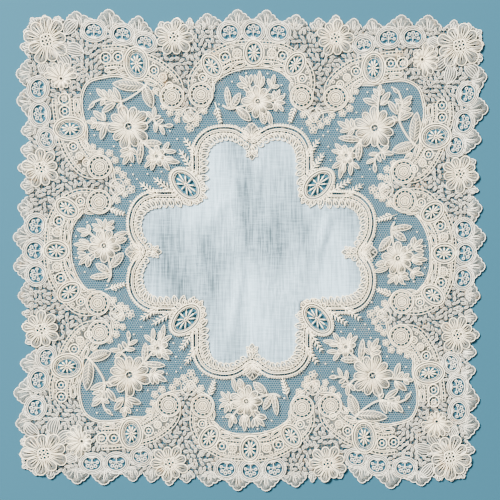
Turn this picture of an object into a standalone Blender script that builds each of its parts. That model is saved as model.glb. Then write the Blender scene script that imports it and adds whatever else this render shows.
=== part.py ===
"""Lace handkerchief, laid flat.

A clear lawn centre, cut as a cross with round lobed arms, sits in a needle lace border.
The lower layer is the cloth itself: lawn, net ground and the scalloped border with its
openings. The upper layer is what is worked or sewn on top: the raised band round the
lawn, the arches with their star wheels, the roses and the flower sprays on the net.

The pattern turns four times round the middle. One quarter is the north side and the
north-east corner, drawn in millimetres from the centre, and every quarter is laid a
little unevenly, as the old cloth lies.
"""

import math

import bmesh
import bpy
from mathutils import Vector
from mathutils.geometry import delaunay_2d_cdt

MM = 0.001

# Heights of the two layers of the cloth, in millimetres above the surface it lies on.
CLOTH_LOW = 0.0
CLOTH_HIGH = 1.0
RAISED_LOW = 1.3
RAISED_HIGH = 2.3
SEAM_GAP = 0.3

# Sizes that many motifs share, in millimetres.
BAND_WIDTH = 19.0
ARM_WIDTH = 20.0
OVAL_RIM = 2.0
STEM_WIDTH = 1.5
BROAD_LEAF = ((0.34, 0.92), (0.74, 0.90))
SLIM_LEAF = ((0.56, 1.0),)
SLIM_WIDTH = 4.5
STAR_ARMS = 8
STAR_ARM_WIDTH = 1.5
QUARTERS = ("north", "east", "south", "west")

# Limits of the outline work, in millimetres.
SAME_POINT = 0.06
STRAIGHT = 0.03
WELD_DISC = 0.35

# How far the cloth lies from a true square: (column, row) of a three by three grid of
# places, one at each corner, mid side and the centre, and the shift there in x and y.
LAY_REACH = 190.0
LAY_SHIFT = {
    (-1, 1): (0.0, 3.5), (0, 1): (0.0, 0.0), (1, 1): (0.0, 0.0),
    (-1, 0): (3.0, 0.0), (0, 0): (0.0, 0.0), (1, 0): (-7.0, 0.0),
    (-1, -1): (0.0, 5.5), (0, -1): (0.0, 2.5), (1, -1): (-8.0, 4.0),
}

# The scalloped edge of one quarter, clockwise: where each scallop starts, and its tip.
EDGE_SCALLOPS = (
    # start x, start y, tip x, tip y
    (0.0, 185.6, 11.8, 192.4),
    (23.2, 184.2, 36.0, 188.8),
    (45.6, 182.4, 53.0, 186.5),
    (60.0, 183.6, 67.0, 188.8),
    (74.4, 183.0, 82.0, 186.0),
    (89.6, 179.7, 96.0, 185.6),
    (105.4, 180.8, 119.6, 188.6),
    (130.2, 182.2, 141.0, 188.5),
    (153.6, 180.3, 161.6, 185.2),
    (166.6, 181.0, 173.0, 182.2),
    (179.2, 179.6, 183.4, 176.6),
    (185.2, 171.6, 185.8, 166.0),
    (183.6, 160.8, 185.0, 155.0),
    (183.2, 149.6, 188.8, 140.6),
    (183.7, 124.8, 190.9, 114.8),
    (181.1, 100.0, 186.2, 90.6),
    (176.0, 78.6, 182.6, 73.0),
    (182.4, 67.2, 185.8, 60.0),
    (183.0, 54.0, 185.6, 49.6),
    (182.4, 45.6, 188.8, 36.0),
    (184.2, 23.2, 192.4, 11.8),
)
WIDE_SCALLOP = 19.0
WIDE_SHOULDERS = ((0.30, 0.30), (0.70, 0.26))
NARROW_SHOULDERS = ((0.46, 0.34),)

# Where the close lace ends and the net ground begins, one quarter, clockwise.
NET_EDGE = (
    (0.8, 147.5), (13.0, 147.0), (24.6, 143.0), (33.2, 133.0), (32.4, 119.0), (44.4, 110.8),
    (50.8, 103.4), (56.4, 110.8), (68.0, 113.4), (76.6, 119.4), (81.6, 132.4), (98.2, 133.6),
    (110.0, 136.6), (124.0, 137.0), (134.6, 131.0), (138.6, 119.0), (139.6, 108.0), (136.8, 97.0),
    (136.6, 85.0), (132.6, 76.0), (119.0, 73.0), (113.4, 65.6), (113.0, 56.0), (104.4, 50.4),
    (110.8, 43.4), (118.0, 34.6), (132.6, 31.4), (141.0, 22.0), (146.2, 9.0),
)

# The raised band round the lawn, half of one quarter from the notch to the diagonal.
BAND_OUTER = (
    (0.0, 91.5), (6.0, 95.6), (14.0, 99.8), (24.8, 100.8), (36.0, 98.0), (44.0, 91.0),
    (48.2, 81.0), (48.4, 70.0), (49.6, 60.0),
)
BAND_INNER = (
    (0.0, 81.6), (5.0, 86.0), (13.0, 90.6), (22.0, 92.0), (31.0, 89.0), (36.6, 82.0),
    (38.4, 73.0), (38.2, 62.0), (37.0, 50.0), (36.6, 36.6),
)
LAWN_EDGE = (
    (0.0, 86.6), (6.0, 91.0), (13.6, 95.2), (23.4, 96.4), (33.6, 93.4), (40.2, 86.4),
    (43.2, 76.0), (43.3, 62.0), (41.6, 50.0), (41.6, 41.6),
)
BAND_PALMETTE = ((0.0, 88.0), (0.0, 103.4), 12.0)
BAND_SPRIG = ((0.0, 85.0), (0.0, 73.6), 5.4)
BAND_CROWN = ((40.0, 40.0, 31.4, 48.0, 5.4), (41.0, 41.0, 34.6, 34.6, 5.0), (40.0, 40.0, 48.0, 31.4, 5.4))
BAND_TWIGS = (
    # root x, root y, tip x, tip y, width
    (72.0, 42.0, 91.8, 54.9, 5.6),
    (61.0, 46.0, 82.2, 59.0, 5.6),
    (46.0, 61.0, 59.2, 80.0, 5.6),
    (42.0, 72.0, 55.2, 91.2, 5.6),
)

# Star wheels: centre, half length, half width and the way the long axis points.
SIDE_OVALS = (
    (1.3, 159.4, 8.3, 6.2, 90.0),
    (-32.4, 148.8, 8.4, 5.6, 126.0),
    (35.0, 150.2, 8.4, 5.6, 57.0),
)
TOP_ARM_OVAL = (98.2, 147.5, 11.0, 7.4, 93.0)
RIGHT_ARM_OVAL = (150.0, 92.9, 11.0, 8.2, 5.0)
LAWN_OVAL = (54.0, 54.0, 12.4, 7.6, 45.0)

# Half-moon cells of fine net in the border: centre, half width, half height, way up.
CELLS = (
    (-18.0, 175.2, 7.0, 6.4, 8.0),
    (1.0, 176.8, 7.0, 6.4, 0.0),
    (21.2, 175.7, 7.2, 6.4, -8.0),
    (90.0, 166.4, 6.4, 5.2, 10.0),
    (109.5, 171.5, 7.4, 6.0, 2.0),
    (129.2, 172.3, 7.4, 6.0, -2.0),
    (175.0, 126.9, 7.4, 6.0, -92.0),
    (173.0, 104.0, 7.4, 6.0, -96.0),
    (166.9, 85.8, 7.0, 5.6, -104.0),
)

# Middle lines of the raised arches of the border.
ARCH_LINE = (
    (-41.4, 125.6), (-41.4, 138.6), (-32.4, 148.8), (-21.4, 155.8), (-11.9, 158.8), (1.3, 159.8),
    (15.8, 158.8), (24.6, 157.0), (35.0, 150.2), (41.4, 139.0), (40.2, 124.6),
)
TOP_ARM_LINE = (
    (68.0, 123.6), (70.4, 134.6), (83.5, 144.5), (98.2, 148.5), (111.8, 150.8), (121.4, 151.2),
)
RIGHT_ARM_LINE = (
    (153.4, 119.6), (154.2, 107.2), (150.0, 92.9), (144.4, 78.8), (135.0, 67.0), (124.0, 64.6),
)
BULB_RADIUS = 9.6

# Open flowers: centre, radius, number of petals and the depth of the notches between.
CORNER_FLOWER = (166.9, 165.0, 17.0, 8, 0.20)
FAN_ROSE = (137.4, 154.0, 12.6, 8, 0.18)
SIDE_ROSES = ((66.8, 171.4, 14.6, 6, 0.22), (-62.6, 171.0, 14.6, 6, 0.22))

# The large spray on the net of the corner.
CORNER_SPRAY_FLOWER = (99.8, 99.8, 16.4, 7, 0.26)
CORNER_SPRAY_BLOSSOM = (76.7, 77.4, 7.4, 6, 0.22)
CORNER_SPRAY_STEMS = (
    ((104.0, 98.0), (113.0, 104.4), (120.1, 106.0)),
    ((135.4, 84.6), (131.6, 87.6), (125.7, 94.7), (120.1, 106.0), (121.8, 119.0), (118.5, 129.4)),
    ((101.0, 104.0), (102.7, 120.8), (103.0, 129.0)),
    ((96.0, 101.0), (79.4, 98.8)),
    ((96.0, 96.0), (88.4, 89.4), (79.0, 78.0)),
    ((101.0, 94.0), (103.2, 84.6), (106.3, 80.8), (101.2, 76.4), (100.7, 68.4)),
)
CORNER_SPRAY_LEAVES = (
    # root x, root y, tip x, tip y, width
    (131.8, 86.0, 134.1, 112.1, 8.8),
    (133.2, 87.0, 115.0, 81.0, 8.8),
    (120.1, 106.0, 130.5, 111.6, 4.2),
    (121.4, 116.0, 129.2, 123.8, 3.8),
    (121.2, 110.2, 111.6, 119.4, 4.4),
    (102.8, 124.6, 98.0, 130.4, 3.6),
    (102.8, 124.8, 107.4, 130.2, 3.6),
    (102.6, 118.8, 90.2, 122.6, 4.8),
    (102.6, 117.8, 111.6, 127.4, 5.0),
    (80.6, 99.0, 70.6, 104.6, 4.2),
    (81.4, 98.8, 78.8, 107.4, 4.2),
    (89.0, 90.2, 69.8, 89.4, 5.0),
    (87.6, 88.4, 88.2, 71.4, 5.0),
    (76.0, 78.6, 66.2, 84.0, 4.0),
    (75.0, 76.0, 65.6, 69.0, 4.0),
    (76.4, 75.4, 72.4, 60.6, 4.4),
    (106.2, 80.6, 115.0, 76.4, 4.0),
    (102.0, 77.2, 95.0, 75.6, 3.6),
)

# The smaller spray under the arch of each side.
SIDE_SPRAY_FLOWER = (5.0, 120.4, 12.0, 6, 0.24)
SIDE_SPRAY_STEMS = (
    ((3.0, 118.6), (-6.3, 116.8), (-18.0, 114.8), (-24.3, 117.3)),
    ((2.6, 124.0), (-2.2, 134.0)),
    ((6.0, 124.0), (6.4, 134.0)),
    ((9.0, 124.0), (15.8, 133.0)),
    ((9.0, 121.4), (18.6, 121.4)),
)
SIDE_SPRAY_LEAVES = (
    (-18.4, 115.0, -20.3, 131.4, 5.0),
    (-16.6, 115.6, -9.4, 127.2, 6.0),
    (-13.0, 115.8, -2.2, 106.4, 7.2),
    (-2.0, 133.4, -11.4, 134.2, 6.0),
    (-2.2, 133.6, -8.4, 141.0, 4.0),
    (-1.8, 133.6, -0.7, 142.0, 4.0),
    (6.4, 133.0, 5.6, 145.2, 3.6),
    (15.6, 132.6, 16.8, 141.8, 3.8),
    (15.6, 132.4, 21.8, 134.2, 3.8),
    (18.4, 121.4, 19.6, 130.4, 4.0),
    (18.4, 121.4, 26.8, 121.8, 4.0),
    (17.6, 121.2, 20.2, 111.6, 4.0),
    (9.0, 113.4, 12.0, 103.0, 6.6),
)

FINISHES = {
    # name: red, green, blue, roughness
    "lawn": (0.82, 0.85, 0.87, 0.85),
    "net": (0.60, 0.66, 0.68, 0.90),
    "lace": (0.79, 0.74, 0.66, 0.88),
    "raised": (0.86, 0.82, 0.75, 0.82),
}


def clear_scene():
    for item in list(bpy.data.objects):
        bpy.data.objects.remove(item, do_unlink=True)


def finish(name):
    """The material of a group of pieces, made once."""
    if name in bpy.data.materials:
        return bpy.data.materials[name]
    red, green, blue, roughness = FINISHES[name]
    material = bpy.data.materials.new(name)
    material.use_nodes = True
    shader = material.node_tree.nodes["Principled BSDF"]
    shader.inputs["Base Color"].default_value = (red, green, blue, 1.0)
    shader.inputs["Roughness"].default_value = roughness
    shader.inputs["Metallic"].default_value = 0.0
    return material


# Outlines in the plane, in millimetres

def oval(x, y, half_length, half_width, turn, count=8):
    """An ellipse whose long axis is turned by so many degrees, with even corners."""
    angle = math.radians(turn)
    points = []
    for step in range(count):
        a = 2 * math.pi * (step + 0.5) / count
        along = half_length * math.cos(a)
        across = half_width * math.sin(a)
        points.append((x + along * math.cos(angle) - across * math.sin(angle),
                       y + along * math.sin(angle) + across * math.cos(angle)))
    return points


def leaf(root, tip, width, profile=BROAD_LEAF):
    """A pointed leaf: the profile gives places along it and the share of the width."""
    (x0, y0), (x1, y1) = root, tip
    dx, dy = x1 - x0, y1 - y0
    length = math.hypot(dx, dy)
    nx, ny = -dy / length, dx / length
    left, right = [], []
    for along, share in profile:
        half = share * width / 2
        left.append((x0 + dx * along + nx * half, y0 + dy * along + ny * half))
        right.append((x0 + dx * along - nx * half, y0 + dy * along - ny * half))
    return [root] + right + [tip] + left[::-1]


def leaf_rows(rows, quarter):
    """The leaves of a table: root x, root y, tip x, tip y and width in each row."""
    leaves = []
    for root_x, root_y, tip_x, tip_y, width in rows:
        profile = SLIM_LEAF if width < SLIM_WIDTH else BROAD_LEAF
        leaves.append(placed(leaf((root_x, root_y), (tip_x, tip_y), width, profile), quarter))
    return leaves


def flower(x, y, radius, petals, notch):
    """An open flower: round petals with notches between them."""
    points = []
    for step in range(petals * 3):
        a = 2 * math.pi * step / (petals * 3)
        reach = radius * (1 - notch) if step % 3 == 0 else radius
        points.append((x + reach * math.cos(a), y + reach * math.sin(a)))
    return points


def ribbon(line, width):
    """The outline of a band of even width along a line of points."""
    left, right = [], []
    for i, (x, y) in enumerate(line):
        x0, y0 = line[max(i - 1, 0)]
        x1, y1 = line[min(i + 1, len(line) - 1)]
        length = math.hypot(x1 - x0, y1 - y0)
        nx, ny = -(y1 - y0) / length, (x1 - x0) / length
        left.append((x + nx * width / 2, y + ny * width / 2))
        right.append((x - nx * width / 2, y - ny * width / 2))
    return left + right[::-1]


def scalloped_edge():
    """The outer edge of the whole border, clockwise from the middle of the north side."""
    starts, tips = [], []
    for quarter in range(4):
        for x0, y0, x1, y1 in EDGE_SCALLOPS:
            starts.append(turned((x0, y0), quarter))
            tips.append(turned((x1, y1), quarter))
    points = []
    for i, start in enumerate(starts):
        end = starts[(i + 1) % len(starts)]
        wide = math.dist(start, end) > WIDE_SCALLOP
        shoulders = WIDE_SHOULDERS if wide else NARROW_SHOULDERS
        points.append(start)
        points.extend(shoulder(start, tips[i], end, share) for share in shoulders)
        points.append(tips[i])
        points.extend(shoulder(end, tips[i], start, share) for share in shoulders[::-1])
    return points


def shoulder(foot, tip, other_foot, share):
    """A point on one flank of a scallop, pushed out from its straight side."""
    along, push = share
    rise = (tip[0] - (foot[0] + other_foot[0]) / 2, tip[1] - (foot[1] + other_foot[1]) / 2)
    return (foot[0] + (tip[0] - foot[0]) * along + rise[0] * push,
            foot[1] + (tip[1] - foot[1]) * along + rise[1] * push)


def mirrored_quarter(half):
    """A quarter from its half, mirrored about the diagonal."""
    other = [(y, x) for x, y in half[::-1]]
    return list(half) + (other[1:] if half[-1][0] == half[-1][1] else other)


def all_round(quarter_points):
    """A closed outline from the points of one quarter, clockwise from north."""
    points = []
    for quarter in range(4):
        points.extend(turned(p, quarter) for p in quarter_points)
    return points


def symmetrical_ring(half):
    """A closed outline round the lawn from half a quarter, without its last notch point."""
    return all_round(mirrored_quarter(half)[:-1])


def inset(points, distance):
    """A clockwise outline moved inwards by a distance, which is outwards if negative."""
    moved = []
    count = len(points)
    for i, (x, y) in enumerate(points):
        x0, y0 = points[i - 1]
        x1, y1 = points[(i + 1) % count]
        length = math.hypot(x1 - x0, y1 - y0)
        moved.append((x + (y1 - y0) / length * distance, y - (x1 - x0) / length * distance))
    return moved


def star_arms(x, y, half_length, half_width, turn):
    """The arms of a star wheel, which cross in the middle and reach into its rim."""
    rim = oval(x, y, half_length + OVAL_RIM / 2, half_width + OVAL_RIM / 2, turn, STAR_ARMS)
    return [ribbon([rim[i], rim[i + STAR_ARMS // 2]], STAR_ARM_WIDTH) for i in range(STAR_ARMS // 2)]


def cell_sprig(x, y, half_width, half_height, turn):
    """The three-leaved sprig that stands in a cell, rooted in its inner side."""
    angle = math.radians(turn)

    def at(across, up):
        return (x + across * math.cos(angle) - up * math.sin(angle),
                y + across * math.sin(angle) + up * math.cos(angle))

    lobes = ((-0.60, 0.30), (-0.20, -0.10), (0.0, 0.62), (0.20, -0.10), (0.60, 0.30))
    points = [at(-0.22 * half_width, -1.2 * half_height)]
    points.extend(at(across * half_width, up * half_height) for across, up in lobes)
    points.append(at(0.22 * half_width, -1.2 * half_height))
    return points


# From the drawing to where the cloth lies

def turned(point, quarter):
    """A point of the north quarter, turned clockwise by so many quarters."""
    x, y = point
    for _ in range(quarter):
        x, y = y, -x
    return (x, y)


def lay(point):
    """Where a point of the true pattern lies on the uneven cloth."""
    x, y = point
    u, v = x / LAY_REACH, y / LAY_REACH
    across = {-1: u * (u - 1) / 2, 0: 1 - u * u, 1: u * (u + 1) / 2}
    up = {-1: v * (v - 1) / 2, 0: 1 - v * v, 1: v * (v + 1) / 2}
    for (column, row), (shift_x, shift_y) in LAY_SHIFT.items():
        weight = across[column] * up[row]
        x += weight * shift_x
        y += weight * shift_y
    return (x, y)


def middle_of_cloth():
    """The middle of the box that holds the laid cloth, which is the part's origin."""
    edge = [lay(p) for p in scalloped_edge()]
    xs = [p[0] for p in edge]
    ys = [p[1] for p in edge]
    return ((min(xs) + max(xs)) / 2, (min(ys) + max(ys)) / 2)


# Joined outlines become closed flat solids

def turning(points):
    """Twice the signed area of an outline, positive when it runs anticlockwise."""
    return sum(a[0] * b[1] - b[0] * a[1] for a, b in zip(points, points[1:] + points[:1]))


def triangulate(outlines):
    """Triangles over all outlines, and for each the set of outlines that cover it."""
    corners, faces = [], []
    for points in outlines:
        ordered = points if turning(points) > 0 else points[::-1]
        faces.append(list(range(len(corners), len(corners) + len(ordered))))
        corners.extend(Vector((round(x, 3), round(y, 3))) for x, y in ordered)
    verts, _, tris, _, _, sources = delaunay_2d_cdt(corners, [], faces, 0, 1e-4, True)
    return [(v.x, v.y) for v in verts], tris, sources


def boundary_loops(tris):
    """Loops of corner numbers round a set of triangles, and corners that two loops share."""
    edges = {(t[i], t[(i + 1) % 3]) for t in tris for i in range(3)}
    following, pinched = {}, set()
    for start, end in edges:
        if (end, start) in edges:
            continue
        if start in following:
            pinched.add(start)
        following[start] = end
    loops = []
    while following and not pinched:
        start, nxt = following.popitem()
        loop = [start]
        while nxt != start:
            loop.append(nxt)
            nxt = following.pop(nxt)
        loops.append(loop)
    return loops, pinched


def tidy_loop(points):
    """A loop without doubled corners and corners on a straight run."""
    changed = True
    while changed and len(points) > 3:
        changed = False
        for i, (x, y) in enumerate(points):
            x0, y0 = points[i - 1]
            x1, y1 = points[(i + 1) % len(points)]
            span = math.hypot(x1 - x0, y1 - y0)
            off = abs((x1 - x0) * (y0 - y) - (x0 - x) * (y1 - y0)) / max(span, 1e-6)
            if math.hypot(x - x0, y - y0) < SAME_POINT or off < STRAIGHT:
                points = points[:i] + points[i + 1:]
                changed = True
                break
    return points


def joined(shapes, holes=(), bridges=()):
    """Loops round the union of the shapes, less the holes, plus the bridges over them."""
    shapes, bridges = list(shapes), list(bridges)
    for _ in range(6):
        verts, tris, sources = triangulate(shapes + list(holes) + bridges)
        first_hole, first_bridge = len(shapes), len(shapes) + len(holes)
        kept = []
        for tri, source in zip(tris, sources):
            in_shape = any(s < first_hole for s in source)
            in_hole = any(first_hole <= s < first_bridge for s in source)
            in_bridge = any(s >= first_bridge for s in source)
            if in_bridge or (in_shape and not in_hole):
                kept.append(tri)
        loops, pinched = boundary_loops(kept)
        if not pinched:
            return [tidy_loop([verts[i] for i in loop]) for loop in loops]
        bridges.extend(oval(*verts[i], WELD_DISC, WELD_DISC, 0, 6) for i in pinched)
    raise RuntimeError("the outline still touches itself at a corner")


def flat_piece(name, loops, low, high, material):
    """One closed flat solid from its outer loop and the loops of its openings."""
    outer = max(loops, key=lambda points: abs(turning(points)))
    inside = [points for points in loops if abs(turning(points)) > 0.02]
    verts, tris, sources = triangulate(inside)
    bm = bmesh.new()
    corners = [bm.verts.new((x * MM, y * MM, low * MM)) for x, y in verts]
    for tri, source in zip(tris, sources):
        if len(source) % 2 == 1:
            bm.faces.new([corners[i] for i in tri])
    for corner in [v for v in bm.verts if not v.link_faces]:
        bm.verts.remove(corner)
    grown = bmesh.ops.extrude_face_region(bm, geom=list(bm.faces))
    lifted = [item for item in grown["geom"] if isinstance(item, bmesh.types.BMVert)]
    bmesh.ops.translate(bm, verts=lifted, vec=(0, 0, (high - low) * MM))
    bmesh.ops.recalc_face_normals(bm, faces=bm.faces)
    bmesh.ops.triangulate(bm, faces=bm.faces)
    mesh = bpy.data.meshes.new(name)
    bm.to_mesh(mesh)
    bm.free()
    mesh.materials.append(finish(material))
    piece = bpy.data.objects.new(name, mesh)
    bpy.context.collection.objects.link(piece)
    print(name, len(mesh.polygons), "triangles", len(outer), "corners outside", len(inside) - 1, "openings")
    return piece


ORIGIN = middle_of_cloth()


def placed(points, quarter=0):
    """Points of the drawing, turned to their quarter and laid on the cloth."""
    out = []
    for point in points:
        x, y = lay(turned(point, quarter))
        out.append((x - ORIGIN[0], y - ORIGIN[1]))
    return out


def rimmed(spec):
    """The outline of a star wheel's rim."""
    x, y, half_length, half_width, turn = spec
    return oval(x, y, half_length + OVAL_RIM, half_width + OVAL_RIM, turn)


def lay_star(spec, quarter):
    return [placed(arm, quarter) for arm in star_arms(*spec)]


# The pieces

def make_lawn():
    edge = inset(symmetrical_ring(LAWN_EDGE), SEAM_GAP / 2)
    holes = [placed(rimmed(LAWN_OVAL), q) for q in range(4)]
    flat_piece("lawn_centre", joined([placed(edge)], holes), CLOTH_LOW, CLOTH_HIGH, "lawn")


def make_net_ground():
    outside = inset(all_round(NET_EDGE), SEAM_GAP / 2)
    inside = inset(symmetrical_ring(LAWN_EDGE), -SEAM_GAP / 2)
    holes = [placed(inside)] + [placed(oval(*LAWN_OVAL), q) for q in range(4)]
    flat_piece("net_ground", joined([placed(outside)], holes), CLOTH_LOW, CLOTH_HIGH, "net")


def make_border():
    holes = [placed(inset(all_round(NET_EDGE), -SEAM_GAP / 2))]
    sprigs = []
    for quarter in range(4):
        for spec in SIDE_OVALS + (TOP_ARM_OVAL, RIGHT_ARM_OVAL):
            holes.append(placed(oval(*spec), quarter))
        for spec in CELLS:
            holes.append(placed(oval(*spec), quarter))
            sprigs.append(placed(cell_sprig(*spec), quarter))
    loops = joined([placed(scalloped_edge())], holes, sprigs)
    flat_piece("lace_border", loops, CLOTH_LOW, CLOTH_HIGH, "lace")


def make_lawn_band():
    shapes = [placed(symmetrical_ring(BAND_OUTER))]
    holes = [placed(symmetrical_ring(BAND_INNER))]
    bridges = []
    for quarter in range(4):
        bridges.append(placed(leaf(*BAND_PALMETTE), quarter))
        bridges.append(placed(leaf(*BAND_SPRIG), quarter))
        bridges.extend(leaf_rows(BAND_CROWN + BAND_TWIGS, quarter))
        bridges.append(placed(rimmed(LAWN_OVAL), quarter))
    band = joined(shapes, holes, bridges)
    wheels = [placed(oval(*LAWN_OVAL), q) for q in range(4)]
    stars = [arm for q in range(4) for arm in lay_star(LAWN_OVAL, q)]
    outer = max(band, key=lambda points: abs(turning(points)))
    inner = [points for points in band if points is not outer]
    flat_piece("lawn_band", joined([outer], inner + wheels, stars), RAISED_LOW, RAISED_HIGH, "raised")


def make_arch(name, line, width, ovals, bulbs, quarter):
    """A raised arch with round ends, pierced by its star wheels."""
    shapes = [placed(ribbon(line, width), quarter)]
    shapes.extend(placed(oval(x, y, BULB_RADIUS, BULB_RADIUS, 0), quarter) for x, y in bulbs)
    shapes.extend(placed(rimmed(spec), quarter) for spec in ovals)
    holes = [placed(oval(*spec), quarter) for spec in ovals]
    stars = [arm for spec in ovals for arm in lay_star(spec, quarter)]
    flat_piece(name, joined(shapes, holes, stars), RAISED_LOW, RAISED_HIGH, "raised")


def make_flower(name, spec, quarter):
    flat_piece(name, joined([placed(flower(*spec), quarter)]), RAISED_LOW, RAISED_HIGH, "raised")


def make_spray(name, flowers, stems, leaves, quarter):
    """Flowers, stems and leaves joined into one sprig that lies on the net."""
    shapes = [placed(flower(*spec), quarter) for spec in flowers]
    shapes.extend(placed(ribbon(stem, STEM_WIDTH), quarter) for stem in stems)
    shapes.extend(leaf_rows(leaves, quarter))
    flat_piece(name, joined(shapes), RAISED_LOW, RAISED_HIGH, "raised")


def main():
    clear_scene()
    make_lawn()
    make_net_ground()
    make_border()
    make_lawn_band()
    for quarter, side in enumerate(QUARTERS):
        make_arch("arch_" + side, ARCH_LINE, BAND_WIDTH, SIDE_OVALS, (ARCH_LINE[0], ARCH_LINE[-1]), quarter)
        make_arch("first_arm_" + side, TOP_ARM_LINE, ARM_WIDTH, (TOP_ARM_OVAL,), (TOP_ARM_LINE[0],), quarter)
        make_arch("second_arm_" + side, RIGHT_ARM_LINE, ARM_WIDTH, (RIGHT_ARM_OVAL,), (RIGHT_ARM_LINE[-1],), quarter)
        make_flower("corner_flower_" + side, CORNER_FLOWER, quarter)
        make_flower("fan_rose_" + side, FAN_ROSE, quarter)
        for number, spec in enumerate(SIDE_ROSES):
            make_flower(f"side_rose_{side}_{number + 1}", spec, quarter)
        make_spray("corner_spray_" + side, (CORNER_SPRAY_FLOWER, CORNER_SPRAY_BLOSSOM),
                   CORNER_SPRAY_STEMS, CORNER_SPRAY_LEAVES, quarter)
        make_spray("side_spray_" + side, (SIDE_SPRAY_FLOWER,), SIDE_SPRAY_STEMS, SIDE_SPRAY_LEAVES, quarter)


main()
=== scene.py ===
# %% [markdown]
# # A needle lace handkerchief
# The real thing is a square of fine lace about 38 cm wide. A cross of sheer lawn lies in
# the middle, a raised band hides its cut edge, and round it come fine net with flower
# sprays, then a close border with arches, star wheels, roses and a scalloped edge.
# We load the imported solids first, as a frame that never moves, and dress each of them.

# %% The frame
import math

import bpy
import numpy as np
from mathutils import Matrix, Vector
from mathutils.geometry import delaunay_2d_cdt


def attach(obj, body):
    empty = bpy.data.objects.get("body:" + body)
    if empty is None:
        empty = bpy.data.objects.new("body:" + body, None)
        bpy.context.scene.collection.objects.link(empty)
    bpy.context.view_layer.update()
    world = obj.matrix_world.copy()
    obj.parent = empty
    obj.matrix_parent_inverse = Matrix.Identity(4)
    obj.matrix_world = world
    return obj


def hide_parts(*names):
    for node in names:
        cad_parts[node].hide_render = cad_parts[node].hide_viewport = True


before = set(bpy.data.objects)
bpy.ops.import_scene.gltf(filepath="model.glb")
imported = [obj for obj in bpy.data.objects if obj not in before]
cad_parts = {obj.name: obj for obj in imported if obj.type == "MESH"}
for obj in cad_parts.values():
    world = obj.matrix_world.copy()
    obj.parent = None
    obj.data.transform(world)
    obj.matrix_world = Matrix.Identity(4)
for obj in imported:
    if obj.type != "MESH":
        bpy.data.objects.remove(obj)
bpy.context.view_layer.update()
print("solids loaded:", len(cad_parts))

# %% [markdown]
# Every size below is in millimetres, as a lace maker would measure it, and the pattern is
# drawn from its own middle. One quarter holds the north side and the north-east corner.
# The old cloth is not a true square, so nine places have a small shift, and the shift of
# any other point is blended from them.

# %% Sizes and the way the cloth lies
MM = 0.001
QUARTERS = ("north", "east", "south", "west")
LAY_REACH = 190.0
LAY_SHIFT = {
    (-1, 1): (0, 3.5), (0, 1): (0, 0), (1, 1): (0, 0),
    (-1, 0): (3, 0), (0, 0): (0, 0), (1, 0): (-7, 0),
    (-1, -1): (0, 5.5), (0, -1): (0, 2.5), (1, -1): (-8, 4),
}
# One seeded source gives all the small differences that hand work has.
RNG = np.random.default_rng(7)

# Heights of the threads and the cloth above the surface, and thicknesses of the cords.
NET_HEIGHT = 0.62
NET_THREAD = 0.13
GROUND_CLOTH = (0.42, 0.62)
GROUND_CORD = 0.72
RAISED_CLOTH = (0.94, 1.12)
RAISED_CORD = 1.10
THICK_CORD = 0.38
FINE_CORD = 0.27


def turn_quarters(points, quarter):
    """Points of the north quarter, turned clockwise by so many quarters."""
    points = np.asarray(points, float)
    for _ in range(quarter):
        points = np.stack([points[:, 1], -points[:, 0]], axis=1)
    return points


def all_quarters(points):
    """The points of one quarter, repeated clockwise round the whole cloth."""
    return np.concatenate([turn_quarters(points, quarter) for quarter in range(4)])


def lay(points):
    """Where points of the true pattern lie on the uneven cloth."""
    points = np.asarray(points, float)
    u, v = points[:, 0] / LAY_REACH, points[:, 1] / LAY_REACH
    across = {-1: u * (u - 1) / 2, 0: 1 - u * u, 1: u * (u + 1) / 2}
    up = {-1: v * (v - 1) / 2, 0: 1 - v * v, 1: v * (v + 1) / 2}
    moved = points.copy()
    for (column, row), (shift_x, shift_y) in LAY_SHIFT.items():
        weight = across[column] * up[row]
        moved[:, 0] += weight * shift_x
        moved[:, 1] += weight * shift_y
    return moved


print("a true corner lies at", lay([(LAY_REACH, LAY_REACH)])[0].round(1), "mm")

# %% [markdown]
# The outer edge is a chain of scallops. The table gives where each one starts and its tip,
# clockwise through one quarter, as in the solids. The middle of the whole edge's box is
# the part's origin, so the edge is worked out first and everything is shifted by it.

# %% The scalloped edge
EDGE_SCALLOPS = (
    (0, 185.6, 11.8, 192.4), (23.2, 184.2, 36, 188.8), (45.6, 182.4, 53, 186.5),
    (60, 183.6, 67, 188.8), (74.4, 183, 82, 186), (89.6, 179.7, 96, 185.6),
    (105.4, 180.8, 119.6, 188.6), (130.2, 182.2, 141, 188.5), (153.6, 180.3, 161.6, 185.2),
    (166.6, 181, 173, 182.2), (179.2, 179.6, 183.4, 176.6), (185.2, 171.6, 185.8, 166),
    (183.6, 160.8, 185, 155), (183.2, 149.6, 188.8, 140.6), (183.7, 124.8, 190.9, 114.8),
    (181.1, 100, 186.2, 90.6), (176, 78.6, 182.6, 73), (182.4, 67.2, 185.8, 60),
    (183, 54, 185.6, 49.6), (182.4, 45.6, 188.8, 36), (184.2, 23.2, 192.4, 11.8),
)
WIDE_SCALLOP = 19.0
WIDE_SHOULDERS = ((0.30, 0.30), (0.70, 0.26))
NARROW_SHOULDERS = ((0.46, 0.34),)


def scallop_corners(start, tip, end):
    """The corners of one scallop from its start to just before its end."""
    shoulders = WIDE_SHOULDERS if math.dist(start, end) > WIDE_SCALLOP else NARROW_SHOULDERS
    corners = [start]
    for foot, other, order in ((start, end, shoulders), (end, start, shoulders[::-1])):
        rise = (tip[0] - (foot[0] + other[0]) / 2, tip[1] - (foot[1] + other[1]) / 2)
        if foot is end:
            corners.append(tip)
        corners.extend((foot[0] + (tip[0] - foot[0]) * along + rise[0] * push,
                        foot[1] + (tip[1] - foot[1]) * along + rise[1] * push) for along, push in order)
    return corners


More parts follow.
